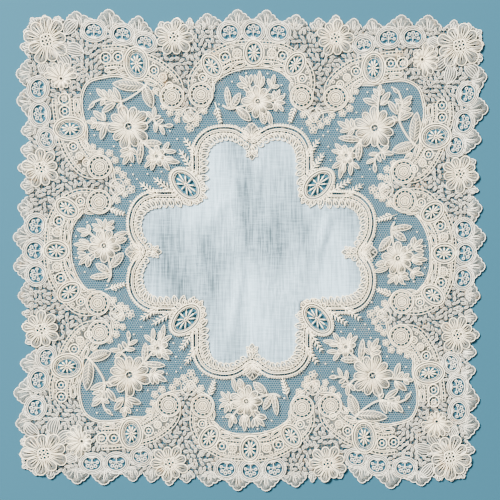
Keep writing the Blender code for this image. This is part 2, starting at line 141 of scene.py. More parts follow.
def edge_rows():
    """Start, tip and end of every scallop of the quarter."""
    rows = []
    for i, (x0, y0, x1, y1) in enumerate(EDGE_SCALLOPS):
        after = EDGE_SCALLOPS[(i + 1) % len(EDGE_SCALLOPS)][:2]
        end = after if i + 1 < len(EDGE_SCALLOPS) else (after[1], -after[0])
        rows.append(((x0, y0), (x1, y1), tuple(end)))
    return rows


def whole_edge():
    """The plain outline of the whole cloth, as the solids have it."""
    corners = np.array([corner for row in edge_rows() for corner in scallop_corners(*row)])
    return all_quarters(corners)


laid_edge = lay(whole_edge())
ORIGIN = (laid_edge.min(axis=0) + laid_edge.max(axis=0)) / 2
print("pattern centre lies at", (-ORIGIN).round(2), "mm")


def settle(flat, heights):
    """Laid points in metres, with the slight waver that hand work has."""
    x, y = flat[:, 0], flat[:, 1]
    waver_x = 0.22 * np.sin(x / 9.0 + 1.7 * np.sin(y / 23.0)) + 0.12 * np.sin(y / 4.1 + x / 13.0)
    waver_y = 0.22 * np.sin(y / 8.3 + 1.4 * np.sin(x / 19.0)) + 0.12 * np.sin(x / 4.7 - y / 11.0)
    lift = 0.10 * (1 + np.sin(x / 27.0 + 0.8) * np.sin(y / 33.0 + 0.3))
    return np.stack([x + waver_x - ORIGIN[0], y + waver_y - ORIGIN[1], heights + lift], axis=1) * MM

# %% [markdown]
# The pattern is drawn with a few kinds of line: a smooth line through given points, a
# circle, an ellipse, and a line moved sideways. A stroke is a line with the thickness of
# its cord, its height, and whether it closes on itself.

# %% Lines and strokes
def stroke(points, radius=FINE_CORD, height=GROUND_CORD, closed=False):
    """One cord: its line, thickness, height, and whether it closes on itself."""
    return {"points": np.asarray(points, float), "radius": radius, "height": height, "closed": closed}


def smooth(points, step=1.6, closed=False):
    """A smooth line through the points, with corners about a step apart."""
    p = np.asarray(points, float)
    count = len(p)
    spans = count if closed else count - 1
    out = []
    for i in range(spans):
        a = p[(i - 1) % count] if closed or i > 0 else 2 * p[0] - p[1]
        b, c = p[i], p[(i + 1) % count]
        d = p[(i + 2) % count] if closed or i + 2 < count else 2 * p[-1] - p[-2]
        pieces = max(1, int(round(np.linalg.norm(c - b) / step)))
        t = np.arange(pieces)[:, None] / pieces
        out.append(0.5 * (2 * b + (c - a) * t + (2 * a - 5 * b + 4 * c - d) * t ** 2
                          + (3 * b - a - 3 * c + d) * t ** 3))
    if not closed:
        out.append(p[-1:])
    return np.concatenate(out)


def circle(x, y, radius, count=10, start=0.0):
    """Points round a circle."""
    a = start + 2 * np.pi * np.arange(count) / count
    return np.stack([x + radius * np.cos(a), y + radius * np.sin(a)], axis=1)


def ellipse(x, y, half_length, half_width, turn, count=24, grow=0.0):
    """Points round an ellipse turned by so many degrees, and grown by a rim's width."""
    a = 2 * np.pi * (np.arange(count) + 0.5) / count
    t = math.radians(turn)
    along, across = (half_length + grow) * np.cos(a), (half_width + grow) * np.sin(a)
    return np.stack([x + along * math.cos(t) - across * math.sin(t),
                     y + along * math.sin(t) + across * math.cos(t)], axis=1)


def at_angle(x, y, reach, angle):
    """The place that lies so far from a point, in the way of an angle."""
    return x + reach * math.cos(angle), y + reach * math.sin(angle)


def left_of(ways):
    """For each way along a line, the way to its left."""
    return np.stack([-ways[:, 1], ways[:, 0]], axis=1)


def sideways(line, distance, closed=False):
    """The line moved to its left by a distance, which may differ along it."""
    before = np.roll(line, 1, axis=0)
    after = np.roll(line, -1, axis=0)
    if not closed:
        before[0], after[-1] = line[0], line[-1]
    along = after - before
    along /= np.maximum(np.linalg.norm(along, axis=1, keepdims=True), 1e-9)
    left = left_of(along)
    return line + left * np.reshape(distance, (-1, 1))


def spaced(line, pitch, closed=False):
    """Points about a pitch apart along a line, and the direction there."""
    line = np.concatenate([line, line[:1]]) if closed else line
    run = np.concatenate([[0], np.cumsum(np.linalg.norm(np.diff(line, axis=0), axis=1))])
    count = max(2, int(round(run[-1] / pitch)) + (0 if closed else 1))
    at = np.linspace(0, run[-1], count, endpoint=not closed)
    points = np.stack([np.interp(at, run, line[:, k]) for k in (0, 1)], axis=1)
    nudge = np.stack([np.interp(np.minimum(at + 0.3, run[-1]), run, line[:, k])
                      - np.interp(np.maximum(at - 0.3, 0), run, line[:, k]) for k in (0, 1)], axis=1)
    return points, nudge / np.maximum(np.linalg.norm(nudge, axis=1, keepdims=True), 1e-9)


def inside(points, polygon):
    """Which points lie in a polygon."""
    x, y = points[:, 0], points[:, 1]
    result = np.zeros(len(points), bool)
    previous = polygon[-1]
    for corner in polygon:
        (x0, y0), (x1, y1) = previous, corner
        if y0 != y1:
            crosses = ((y0 > y) != (y1 > y)) & (x < (x1 - x0) * (y - y0) / (y1 - y0) + x0)
            result ^= crosses
        previous = corner
    return result


print("corners of a smoothed square:", len(smooth(circle(0, 0, 5.0, 4), 1.0, True)))

# %% [markdown]
# Lace is thread, so the main tool is a spinner of threads: it takes the strokes of a motif
# and lays a thin round cord along each one. Adding thousands of curve objects would be
# slow, so the cords of one motif are worked out with numpy and joined in a single mesh.
# A cord has four sides, or three where it is slim, because there are thousands of them.

# %% The spinner of threads
SLIM_CORD = 0.27
END_TAPER = 0.6


def tube(points, radius, closed):
    """Corners and four-cornered faces of a round cord along 3-D points."""
    count = len(points)
    sides = 3 if np.max(radius) < SLIM_CORD * MM else 4
    before, after = np.roll(points, 1, axis=0), np.roll(points, -1, axis=0)
    if not closed:
        before[0], after[-1] = points[0], points[-1]
    along = (after - before)[:, :2]
    along /= np.maximum(np.linalg.norm(along, axis=1, keepdims=True), 1e-9)
    left = np.stack([-along[:, 1], along[:, 0], np.zeros(count)], axis=1)
    radii = np.broadcast_to(np.asarray(radius, float), (count,)).copy()
    if not closed:
        radii[[0, -1]] *= END_TAPER
    a = 2 * np.pi * (np.arange(sides) + (0.75 if sides == 3 else 0.5)) / sides
    ring = left[:, None] * np.cos(a)[None, :, None] + np.array([0, 0, 1.0]) * np.sin(a)[None, :, None]
    corners = (points[:, None] + ring * radii[:, None, None]).reshape(-1, 3)
    spans = count if closed else count - 1
    i = (np.arange(spans)[:, None] * sides + np.arange(sides)[None, :])
    j = ((np.arange(spans)[:, None] + 1) % count * sides + np.arange(sides)[None, :])
    walls = np.stack([i, j, np.roll(j, -1, axis=1), np.roll(i, -1, axis=1)], axis=2).reshape(-1, 4)
    faces = np.concatenate([walls[:, [0, 1, 2]], walls[:, [0, 2, 3]]])
    if not closed:
        last = (count - 1) * sides
        near = [[0, s, s + 1] for s in range(1, sides - 1)]
        far = [[last + c for c in reversed(cap)] for cap in near]
        faces = np.concatenate([faces, near, far])
    return corners, faces


def spin(strokes, quarter=0):
    """All strokes of a motif as one set of corners and faces, in metres."""
    corners, faces, start = [], [], 0
    for s in strokes:
        flat = lay(turn_quarters(s["points"], quarter))
        heights = np.broadcast_to(np.asarray(s["height"], float), (len(flat),))
        path = settle(flat, heights)
        c, f = tube(path, np.asarray(s["radius"]) * MM, s["closed"])
        corners.append(c)
        faces.append(f + start)
        start += len(c)
    return np.concatenate(corners), np.concatenate(faces)


def weave_mesh(name, blocks, materials):
    """One object from blocks of (corners, faces, material number)."""
    mesh = bpy.data.meshes.new(name)
    corners = np.concatenate([b[0] for b in blocks])
    loops, totals, slots, start = [], [], [], 0
    for block_corners, block_faces, slot in blocks:
        block_faces = np.asarray(block_faces, np.int32)
        loops.append((block_faces + start).ravel())
        totals.append(np.full(len(block_faces), block_faces.shape[1], np.int32))
        slots.append(np.full(len(block_faces), slot, np.int32))
        start += len(block_corners)
    loops, totals, slots = np.concatenate(loops), np.concatenate(totals), np.concatenate(slots)
    mesh.vertices.add(len(corners))
    mesh.vertices.foreach_set("co", corners.astype(np.float32).ravel())
    mesh.loops.add(len(loops))
    mesh.loops.foreach_set("vertex_index", loops.astype(np.int32))
    mesh.polygons.add(len(totals))
    firsts = np.concatenate([[0], np.cumsum(totals)[:-1]])
    mesh.polygons.foreach_set("loop_start", firsts.astype(np.int32))
    mesh.polygons.foreach_set("loop_total", totals)
    for material in materials:
        mesh.materials.append(material)
    mesh.polygons.foreach_set("material_index", slots)
    mesh.polygons.foreach_set("use_smooth", np.ones(len(totals), bool))
    mesh.update(calc_edges=True)
    mesh.validate()
    piece = bpy.data.objects.new(name, mesh)
    bpy.context.collection.objects.link(piece)
    print(name, int((totals - 2).sum()), "triangles")
    return piece


print("faces of a ring of cord:", len(spin([stroke(circle(0, 0, 2.0), closed=True)])[1]))

# %% [markdown]
# Behind the cords lies the close needle-worked cloth that lace makers call toile. It is
# cut from outlines: all outlines of a motif are joined, openings are left out, and the
# flat shape that remains gets a little thickness. A triangulation with fixed edges does
# the joining, so leaves and petals may overlap freely. Where two rims meet in one point,
# a tiny disc is welded over it, so that the cloth has a clean edge there.

# %% Cloth cut from outlines
WELD_DISC = 0.3


def triangulate(outlines):
    """Triangles over all outlines, and for each the set of outlines that cover it."""
    corners, faces = [], []
    for points in outlines:
        points = np.asarray(points, float)
        x, y = points[:, 0], points[:, 1]
        if (x * np.roll(y, -1) - np.roll(x, -1) * y).sum() < 0:
            points = points[::-1]
        faces.append(list(range(len(corners), len(corners) + len(points))))
        corners.extend(Vector((round(a, 3), round(b, 3))) for a, b in points)
    verts, _, tris, _, _, sources = delaunay_2d_cdt(corners, [], faces, 0, 1e-4, True)
    return np.array([(v.x, v.y) for v in verts]), tris, sources


def rim_edges(tris):
    """Directed edges round a set of triangles, and corners where two rims meet."""
    edges = {(t[i], t[(i + 1) % 3]) for t in tris for i in range(3)}
    rim = [(a, b) for a, b in edges if (b, a) not in edges]
    starts = [a for a, _ in rim]
    pinched = {a for a in starts if starts.count(a) > 1} if len(set(starts)) < len(starts) else set()
    return rim, pinched


def cut_cloth(shapes, holes, thickness, quarter=0):
    """Corners and faces of thin cloth over the shapes, less the holes."""
    shapes = [turn_quarters(s, quarter) for s in shapes]
    holes = [turn_quarters(h, quarter) for h in holes]
    patches = []
    for _ in range(6):
        verts, tris, sources = triangulate(shapes + holes + patches)
        first_hole, first_patch = len(shapes), len(shapes) + len(holes)
        kept = []
        for tri, source in zip(tris, sources):
            hole = any(first_hole <= s < first_patch for s in source)
            if any(s >= first_patch for s in source) or (source and not hole and min(source) < first_hole):
                kept.append(tri)
        rim, pinched = rim_edges(kept)
        if not pinched:
            break
        patches.extend(circle(*verts[i], WELD_DISC, 6) for i in pinched)
    kept = np.array(kept, np.int32)
    used, kept = np.unique(kept, return_inverse=True)
    kept = kept.reshape(-1, 3)
    renumber = {old: new for new, old in enumerate(used)}
    rim = np.array([(renumber[a], renumber[b]) for a, b in rim], np.int32)
    flat = lay(verts[used])
    low = settle(flat, np.full(len(flat), thickness[0]))
    high = settle(flat, np.full(len(flat), thickness[1]))
    count = len(flat)
    walls = np.stack([rim[:, 0], rim[:, 1], rim[:, 1] + count, rim[:, 0] + count], axis=1)
    walls = np.concatenate([walls[:, [0, 1, 2]], walls[:, [0, 2, 3]]])
    faces = np.concatenate([kept[:, ::-1], kept + count, walls])
    return np.concatenate([low, high]), faces


print("faces of a round patch:", len(cut_cloth([circle(0, 0, 2.0)], [], GROUND_CLOTH)[1]))

# %% [markdown]
# The border has hundreds of tiny petals of cloth that need no joining. Each is fanned out
# from its own middle, which is quick and takes few faces.

# %% Small patches of cloth
def cloth_patches(outlines, thickness, quarter=0):
    """Small pieces of cloth, each fanned out from its own middle."""
    corners, faces, start = [], [], 0
    for outline in outlines:
        flat = turn_quarters(outline, quarter)
        x, y = flat[:, 0], flat[:, 1]
        if (x * np.roll(y, -1) - np.roll(x, -1) * y).sum() < 0:
            flat = flat[::-1]
        flat = lay(np.concatenate([flat, flat.mean(axis=0, keepdims=True)]))
        count = len(flat)
        low = settle(flat, np.full(count, thickness[0]))
        high = settle(flat, np.full(count, thickness[1]))
        i = np.arange(count - 1)
        j = (i + 1) % (count - 1)
        middle = np.full(count - 1, count - 1)
        top = np.stack([i, j, middle], axis=1) + count
        bottom = np.stack([j, i, middle], axis=1)
        walls = np.concatenate([np.stack([i, j, j + count], axis=1),
                                np.stack([i, j + count, i + count], axis=1)])
        corners.extend([low, high])
        faces.append(np.concatenate([top, bottom, walls]) + start)
        start += 2 * count
    return np.concatenate(corners), np.concatenate(faces)


print("faces of a small patch:", len(cloth_patches([circle(0, 0, 1.0, 8)], GROUND_CLOTH)[1]))

# %% [markdown]
# Old cotton is never one colour. A node group called Aged thread mixes a fresh and an
# aged cream by soft blotches, adds the small tan spots that storage leaves, and gives the
# fine twist of the yarn as a height. It reads Object coordinates, which here are metres
# on the cloth, so the blotches run on from piece to piece.

# %% Finish: aged thread
STORAGE_TAN = (0.60, 0.38, 0.18, 1.0)


def new_group(name, inputs, outputs):
    """A shader node group with named inputs and outputs."""
    group = bpy.data.node_groups.new(name, "ShaderNodeTree")
    for label, kind, value in inputs:
        socket = group.interface.new_socket(name=label, in_out="INPUT", socket_type=kind)
        socket.default_value = value
    for label, kind in outputs:
        group.interface.new_socket(name=label, in_out="OUTPUT", socket_type=kind)
    return group, group.nodes.new("NodeGroupInput"), group.nodes.new("NodeGroupOutput")


def add_node(tree, kind, links=(), **settings):
    """A node with its settings, and links as (input name, output socket) pairs."""
    node = tree.nodes.new(kind)
    for key, value in settings.items():
        if hasattr(node, key):
            setattr(node, key, value)
        else:
            node.inputs[key.replace("_", " ")].default_value = value
    for name, socket in links:
        tree.links.new(socket, node.inputs[name])
    return node


def aged_thread_group():
    """Two creams mixed in soft blotches, small tan spots, and the twist of the yarn."""
    group, given, result = new_group(
        "Aged thread",
        [("Fresh", "NodeSocketColor", (0.8, 0.76, 0.68, 1)),
         ("Aged", "NodeSocketColor", (0.6, 0.52, 0.4, 1)),
         ("Twist", "NodeSocketFloat", 2600.0)],
        [("Color", "NodeSocketColor"), ("Roughness", "NodeSocketFloat"), ("Height", "NodeSocketFloat")])
    place = add_node(group, "ShaderNodeTexCoord").outputs["Object"]
    blotch = add_node(group, "ShaderNodeTexNoise", [("Vector", place)],
                      Scale=26.0, Detail=5.0, Roughness=0.62)
    soft = add_node(group, "ShaderNodeMapRange", [("Value", blotch.outputs["Fac"])],
                    From_Min=0.38, From_Max=0.74, To_Min=0.0, To_Max=0.85)
    spots = add_node(group, "ShaderNodeTexNoise", [("Vector", place)],
                     Scale=62.0, Detail=6.0, Roughness=0.75)
    tan = add_node(group, "ShaderNodeMapRange", [("Value", spots.outputs["Fac"])],
                   From_Min=0.57, From_Max=0.74, To_Min=0.0, To_Max=0.75)
    fuzz = add_node(group, "ShaderNodeTexNoise",
                    [("Vector", place), ("Scale", given.outputs["Twist"])], Detail=2.0)
    mixed = add_node(group, "ShaderNodeMix",
                     [("Factor", soft.outputs["Result"]), ("A", given.outputs["Fresh"]),
                      ("B", given.outputs["Aged"])], data_type="RGBA")
    stained = add_node(group, "ShaderNodeMix", [("Factor", tan.outputs["Result"]),
                                                ("A", mixed.outputs["Result"])], data_type="RGBA")
    stained.inputs["B"].default_value = STORAGE_TAN
    rough = add_node(group, "ShaderNodeMapRange", [("Value", fuzz.outputs["Fac"])],
                     From_Min=0.3, From_Max=0.7, To_Min=0.78, To_Max=0.95)
    group.links.new(stained.outputs["Result"], result.inputs["Color"])
    group.links.new(rough.outputs["Result"], result.inputs["Roughness"])
    group.links.new(fuzz.outputs["Fac"], result.inputs["Height"])
    return group


AGED_THREAD = aged_thread_group()
print("group:", AGED_THREAD.name)

# %% [markdown]
# Lawn is a plain weave of fine hand-spun yarns, some thicker than their neighbours. Two
# noises stretched along the warp and the weft give the uneven yarns, and two waves give
# the weave itself, as a height.

# %% Finish: plain weave
def weave_group():
    """Plain weave with uneven yarns, more so along the warp, as in hand-spun lawn."""
    group, given, result = new_group(
        "Plain weave",
        [("Yarns per metre", "NodeSocketFloat", 1500.0), ("Slub", "NodeSocketFloat", 0.5)],
        [("Fac", "NodeSocketFloat"), ("Height", "NodeSocketFloat")])
    place = add_node(group, "ShaderNodeTexCoord").outputs["Object"]
    slubs = []
    for stretch, scale in (((1.0, 0.05, 1.0), 1000.0), ((0.06, 1.0, 1.0), 1100.0)):
        pull = add_node(group, "ShaderNodeMapping", [("Vector", place)])
        pull.inputs["Scale"].default_value = stretch
        slubs.append(add_node(group, "ShaderNodeTexNoise", [("Vector", pull.outputs["Vector"])],
                              Scale=scale, Detail=2.0))
    yarn_links = [("Vector", place), ("Scale", given.outputs["Yarns per metre"])]
    warp = add_node(group, "ShaderNodeTexWave", yarn_links, bands_direction="X", Distortion=1.2, Detail=1.0)
    weft = add_node(group, "ShaderNodeTexWave", yarn_links, bands_direction="Y", Distortion=1.2, Detail=1.0)
    yarns = add_node(group, "ShaderNodeMath", [(0, warp.outputs["Fac"]), (1, weft.outputs["Fac"])],
                     operation="MULTIPLY")
    fainter = add_node(group, "ShaderNodeMath", [(0, slubs[1].outputs["Fac"])], operation="MULTIPLY")
    fainter.inputs[1].default_value = 0.5
    both_slubs = add_node(group, "ShaderNodeMath", [(0, slubs[0].outputs["Fac"]), (1, given.outputs["Slub"]),
                                                    (2, fainter.outputs["Value"])], operation="MULTIPLY_ADD")
    both = add_node(group, "ShaderNodeMath", [(0, yarns.outputs["Value"]), (2, both_slubs.outputs["Value"])],
                    operation="MULTIPLY_ADD")
    both.inputs[1].default_value = 0.35
    group.links.new(both_slubs.outputs["Value"], result.inputs["Fac"])
    group.links.new(both.outputs["Value"], result.inputs["Height"])
    return group


PLAIN_WEAVE = weave_group()
print("group:", PLAIN_WEAVE.name)

# %% [markdown]
# The toile of the real lace is full of pin-point meshes, far too many to cut. A cell
# pattern gives their threads and leaves openings between them, by alpha.

# %% Finish: open work
def open_work_group():
    """The tiny meshes of needle-worked cloth: threads with openings between them."""
    group, given, result = new_group(
        "Open work",
        [("Meshes per metre", "NodeSocketFloat", 1100.0), ("Thread share", "NodeSocketFloat", 0.2)],
        [("Alpha", "NodeSocketFloat"), ("Height", "NodeSocketFloat")])
    place = add_node(group, "ShaderNodeTexCoord").outputs["Object"]
    meshes = add_node(group, "ShaderNodeTexVoronoi",
                      [("Vector", place), ("Scale", given.outputs["Meshes per metre"])],
                      voronoi_dimensions="2D", feature="DISTANCE_TO_EDGE", Randomness=0.55)
    edge = add_node(group, "ShaderNodeMath",
                    [(0, meshes.outputs["Distance"]), (1, given.outputs["Thread share"])], operation="DIVIDE")
    solid = add_node(group, "ShaderNodeMapRange", [("Value", edge.outputs["Value"])],
                     From_Min=0.8, From_Max=1.2, To_Min=1.0, To_Max=0.0)
    group.links.new(solid.outputs["Result"], result.inputs["Alpha"])
    round_thread = add_node(group, "ShaderNodeMapRange", [("Value", edge.outputs["Value"])],
                            From_Min=0.0, From_Max=1.0, To_Min=1.0, To_Max=0.0)
    group.links.new(round_thread.outputs["Result"], result.inputs["Height"])
    return group


OPEN_WORK = open_work_group()
print("group:", OPEN_WORK.name)

# %% [markdown]
# Eight finishes share these groups. The raised cords are the brightest cream and the
# border's cords are greyer. The cloth behind them is darkened with painted shade, the
# shade that falls between and under the cords, and is darker the more open it is; the
# net is cool because so little thread stands before the table.

# %% The finishes of the lace
def principled(name, sheen=0.15):
    """A soft, matt material with a little sheen."""
    material = bpy.data.materials.new(name)
    material.use_nodes = True
    shader = material.node_tree.nodes["Principled BSDF"]
    shader.inputs["Sheen Weight"].default_value = sheen
    shader.inputs["Specular IOR Level"].default_value = 0.25
    return material, material.node_tree, shader


def thread_finish(name, fresh, aged, twist=2600.0, bump=0.25, meshes=0.0, share=0.2):
    """A cotton finish from Aged thread, and with openings where meshes are given."""
    material, tree, shader = principled(name)
    aging = add_node(tree, "ShaderNodeGroup")
    aging.node_tree = AGED_THREAD
    aging.inputs["Fresh"].default_value = (*fresh, 1.0)
    aging.inputs["Aged"].default_value = (*aged, 1.0)
    aging.inputs["Twist"].default_value = twist
    tree.links.new(aging.outputs["Color"], shader.inputs["Base Color"])
    tree.links.new(aging.outputs["Roughness"], shader.inputs["Roughness"])
    height = aging.outputs["Height"]
    if meshes:
        work = add_node(tree, "ShaderNodeGroup")
        work.node_tree = OPEN_WORK
        work.inputs["Meshes per metre"].default_value = meshes
        work.inputs["Thread share"].default_value = share
        tree.links.new(work.outputs["Alpha"], shader.inputs["Alpha"])
        height = work.outputs["Height"]
    relief = add_node(tree, "ShaderNodeBump", [("Height", height)], Strength=bump, Distance=0.0003)
    tree.links.new(relief.outputs["Normal"], shader.inputs["Normal"])
    return material


CORD = thread_finish("Cotton cord", (1.0, 0.88, 0.64), (0.88, 0.72, 0.46))
BORDER_CORD = thread_finish("Border cord", (0.82, 0.77, 0.64), (0.52, 0.47, 0.37))
NET = thread_finish("Net thread", (0.21, 0.27, 0.29), (0.17, 0.20, 0.20))
# Painted shade: the toile, petal toile, border ground and scallop toile are made dark to stand for the shade
# between and under the cords, and their openings also show the table.
TOILE_WITH_PAINTED_SHADE = thread_finish("Needle worked toile", (0.17, 0.18, 0.16), (0.12, 0.12, 0.10),
                      bump=0.6, meshes=1000.0, share=0.14)
PETAL_TOILE_WITH_PAINTED_SHADE = thread_finish("Petal toile", (0.29, 0.30, 0.27), (0.21, 0.20, 0.16),
                      bump=0.6, meshes=1000.0, share=0.14)
GROUND_WITH_PAINTED_SHADE = thread_finish("Border ground", (0.08, 0.083, 0.072), (0.055, 0.05, 0.04),
                       bump=0.6, meshes=420.0, share=0.12)
DENSE = thread_finish("Close petal cloth", (0.38, 0.36, 0.30), (0.29, 0.25, 0.19),
                      twist=1400.0, bump=0.5)
SCALLOP_TOILE_WITH_PAINTED_SHADE = thread_finish("Scallop toile", (0.24, 0.27, 0.25), (0.18, 0.19, 0.17),
                        bump=0.6, meshes=1000.0, share=0.13)
WARM = thread_finish("Warm hub thread", (0.92, 0.74, 0.50), (0.80, 0.58, 0.36))
print("finishes of thread:", len(bpy.data.materials))

# %% [markdown]
# The lawn lets a little of the table through. Its colour goes from a cool tone to a clear
# white, partly yarn by yarn and partly in broad soft patches of painted shade and painted
# highlight that run with the folds.

# %% The finish of the lawn
# LAWN_SHADE is the cool end of the colour, reached yarn by yarn and in the painted fold shade; LAWN_LIGHT is
# the clear white end, reached yarn by yarn and in the painted fold highlight.
LAWN_SHADE = (0.045, 0.075, 0.09, 1.0)
LAWN_LIGHT = (0.40, 0.56, 0.66, 1.0)
YARN_SHARE = 0.46
LAWN_COVER = 0.95


def lawn_finish():
    """Sheer white lawn: uneven yarns, and painted shade and highlight in broad soft patches along the
    creases.
    """
    material, tree, shader = principled("Sheer lawn", 0.2)
    weave = add_node(tree, "ShaderNodeGroup")
    weave.node_tree = PLAIN_WEAVE
    weave.inputs["Slub"].default_value = 1.0
    tint = add_node(tree, "ShaderNodeMapRange", [("Value", weave.outputs["Fac"])],
                    From_Min=0.58, From_Max=0.92, To_Min=0.0, To_Max=1.0)
    place = add_node(tree, "ShaderNodeTexCoord").outputs["Object"]
    tall = add_node(tree, "ShaderNodeMapping", [("Vector", place)])
    tall.inputs["Scale"].default_value = (1.0, 0.4, 1.0)
    tall.inputs["Rotation"].default_value = (0.0, 0.0, 0.12)
    # Painted shade and painted highlight: a noise stretched along the folds darkens and lightens the lawn's
    # colour in broad soft patches.
    fold_shade_noise = add_node(tree, "ShaderNodeTexNoise", [("Vector", tall.outputs["Vector"])],
                     Scale=24.0, Detail=1.5)
    painted_fold_shade = add_node(tree, "ShaderNodeMapRange", [("Value", fold_shade_noise.outputs["Fac"])],
                          From_Min=0.34, From_Max=0.66, To_Min=-0.05, To_Max=0.65)
    shade = add_node(tree, "ShaderNodeMath", [(0, tint.outputs["Result"]), (2, painted_fold_shade.outputs["Result"])],
                     operation="MULTIPLY_ADD", use_clamp=True)
    shade.inputs[1].default_value = YARN_SHARE
    mixed = add_node(tree, "ShaderNodeMix", [("Factor", shade.outputs["Value"])], data_type="RGBA")
    mixed.inputs["A"].default_value = LAWN_SHADE
    mixed.inputs["B"].default_value = LAWN_LIGHT
    relief = add_node(tree, "ShaderNodeBump", [("Height", weave.outputs["Height"])],
                      Strength=0.4, Distance=0.0004)
    tree.links.new(mixed.outputs["Result"], shader.inputs["Base Color"])
    tree.links.new(relief.outputs["Normal"], shader.inputs["Normal"])
    shader.inputs["Roughness"].default_value = 0.85
    shader.inputs["Alpha"].default_value = LAWN_COVER
    return material


LAWN = lawn_finish()
print("finish:", LAWN.name)

# %% [markdown]
# The lawn is the only woven cloth: a sheer square of plain weave with soft creases from
# years in a drawer. A grid is added at its size, corners outside the cross are taken
# away, and the creases are troughs and ridges a fraction of a millimetre deep. Its cut
# edge ends under the raised band, as the real one does.

# %% The shape of the lawn
BAND_OUTER = (
    (0, 91.5), (6, 95.6), (14, 99.8), (24.8, 100.8), (36, 98), (44, 91),
    (48.2, 81), (48.4, 70), (49.6, 60),
)
BAND_INNER = (
    (0, 81.6), (5, 86), (13, 90.6), (22, 92), (31, 89), (36.6, 82),
    (38.4, 73), (38.2, 62), (37, 50), (36.6, 36.6),
)
LAWN_EDGE = (
    (0, 86.6), (6, 91), (13.6, 95.2), (23.4, 96.4), (33.6, 93.4), (40.2, 86.4),
    (43.2, 76), (43.3, 62), (41.6, 50), (41.6, 41.6),
)
# A star wheel is an oval: centre, half length, half width and turn in degrees.
LAWN_OVAL = (54.0, 54.0, 12.4, 7.6, 45.0)
LAWN_REACH = 97.0
LAWN_STEP = 1.9
LAWN_THICK = 0.16
LAWN_HEIGHT = 0.50
LAWN_LIMITS = (0.10, 1.9)
LAWN_WAVE = 0.10
CREASE_GAIN = 2.8
CALM_REACH = 74.0
# Creases: a point on the line, the way it runs in degrees, depth and half width.
CREASES = (
    (-9.5, 18, 90, 0.56, 5), (17, 14, 93, 0.46, 6.5), (-12.5, -40, 85, 0.48, 3.2),
    (6, 64, 88, 0.44, 3.2), (-16, 66, 95, 0.34, 4.5), (3, -34, 91, 0.36, 4.5),
    (58, 18, 84, 0.44, 2.8), (66, 30, 62, 0.40, 3.4), (24, -32, 140, 0.40, 4.4),
    (-40, -8, 100, 0.34, 5.5), (-60, 12, 98, 0.30, 5.5), (40, -14, 88, 0.30, 6),
    (-26, 30, 60, 0.32, 5), (14, -70, 90, 0.30, 5), (0, 2, 0, 0.16, 2.6),
)


def mirrored_quarter(half):
    """A quarter from its half, mirrored about the diagonal."""
    other = [(y, x) for x, y in half[::-1]]
    return list(half) + (other[1:] if half[-1][0] == half[-1][1] else other)


def ring_round(half, step=2.0):
    """A smooth closed outline round the lawn, clockwise, from half a quarter."""
    quarter = np.array(mirrored_quarter(half)[:-1])
    return smooth(all_quarters(quarter), step, True)


print("the lawn's edge has", len(ring_round(LAWN_EDGE)), "corners")

# %% The lawn centre
def dress(piece, node_names):
    """The piece rides on the cloth and stands for its nodes."""
    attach(piece, "root")
    if node_names:
        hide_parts(*node_names)
    return piece


def make_lawn():
    """A grid cut to the cross, creased, thickened and dressed as the lawn."""
    bpy.ops.object.select_all(action="DESELECT")
    cells = int(2 * LAWN_REACH / LAWN_STEP)
    bpy.ops.mesh.primitive_grid_add(x_subdivisions=cells, y_subdivisions=cells, size=2 * LAWN_REACH * MM)
    cloth = bpy.context.object
    cloth.name = "lawn_cloth"
    flat = np.array([v.co[:2] for v in cloth.data.vertices]) / MM
    outline = ring_round(LAWN_EDGE)
    keep = inside(flat, outline)
    for quarter in range(4):
        keep &= ~inside(flat, turn_quarters(ellipse(*LAWN_OVAL, grow=0.8), quarter))
    bpy.ops.object.mode_set(mode="EDIT")
    bpy.ops.mesh.select_mode(type="VERT")
    bpy.ops.mesh.select_all(action="DESELECT")
    bpy.ops.object.mode_set(mode="OBJECT")
    for vertex, kept in zip(cloth.data.vertices, keep):
        vertex.select = bool(not kept)
    bpy.ops.object.mode_set(mode="EDIT")
    bpy.ops.mesh.delete(type="VERT")
    bpy.ops.object.mode_set(mode="OBJECT")
    flat = np.array([v.co[:2] for v in cloth.data.vertices]) / MM
    height = np.full(len(flat), LAWN_HEIGHT)
    calm = 1 / (1 + np.exp((np.hypot(flat[:, 0], flat[:, 1]) - CALM_REACH) / 4.0))
    for x, y, turn, depth, width in CREASES:
        a = math.radians(turn)
        off = (flat[:, 0] - x) * -math.sin(a) + (flat[:, 1] - y) * math.cos(a)
        along = (flat[:, 0] - x) * math.cos(a) + (flat[:, 1] - y) * math.sin(a)
        off = off + 1.6 * np.sin(along / 13.0 + x)
        fade = np.exp(-(along / 32.0) ** 2) * calm
        height += CREASE_GAIN * depth * np.exp(-(off / width) ** 2) * fade
    height += LAWN_WAVE * np.sin(flat[:, 0] / 9.0 + np.sin(flat[:, 1] / 14.0)) * np.sin(flat[:, 1] / 12.0)
    placed = settle(lay(flat), np.clip(height, *LAWN_LIMITS))
    cloth.data.vertices.foreach_set("co", placed.astype(np.float32).ravel())
    cloth.data.update()
    bpy.ops.object.select_all(action="DESELECT")
    cloth.select_set(True)
    bpy.context.view_layer.objects.active = cloth
    thick = cloth.modifiers.new("Thickness", "SOLIDIFY")
    thick.thickness = LAWN_THICK * MM
    thick.offset = 0.0
    bpy.ops.object.modifier_apply(modifier=thick.name)
    bpy.ops.object.shade_smooth()
    cloth.data.materials.clear()
    cloth.data.materials.append(LAWN)
    dress(cloth, ["lawn_centre"])
    return cloth


lawn_cloth = make_lawn()

# %% [markdown]
# The net is worked with a needle, mesh by mesh. The real meshes are small hexagons about
# 1.7 mm wide. Here they are a little wider, so that some twenty thousand of them stay a
# light mesh. The threads are kept only where the net shows, between the raised band and
# the border. Each quarter is a piece of its own, to keep the pieces small.

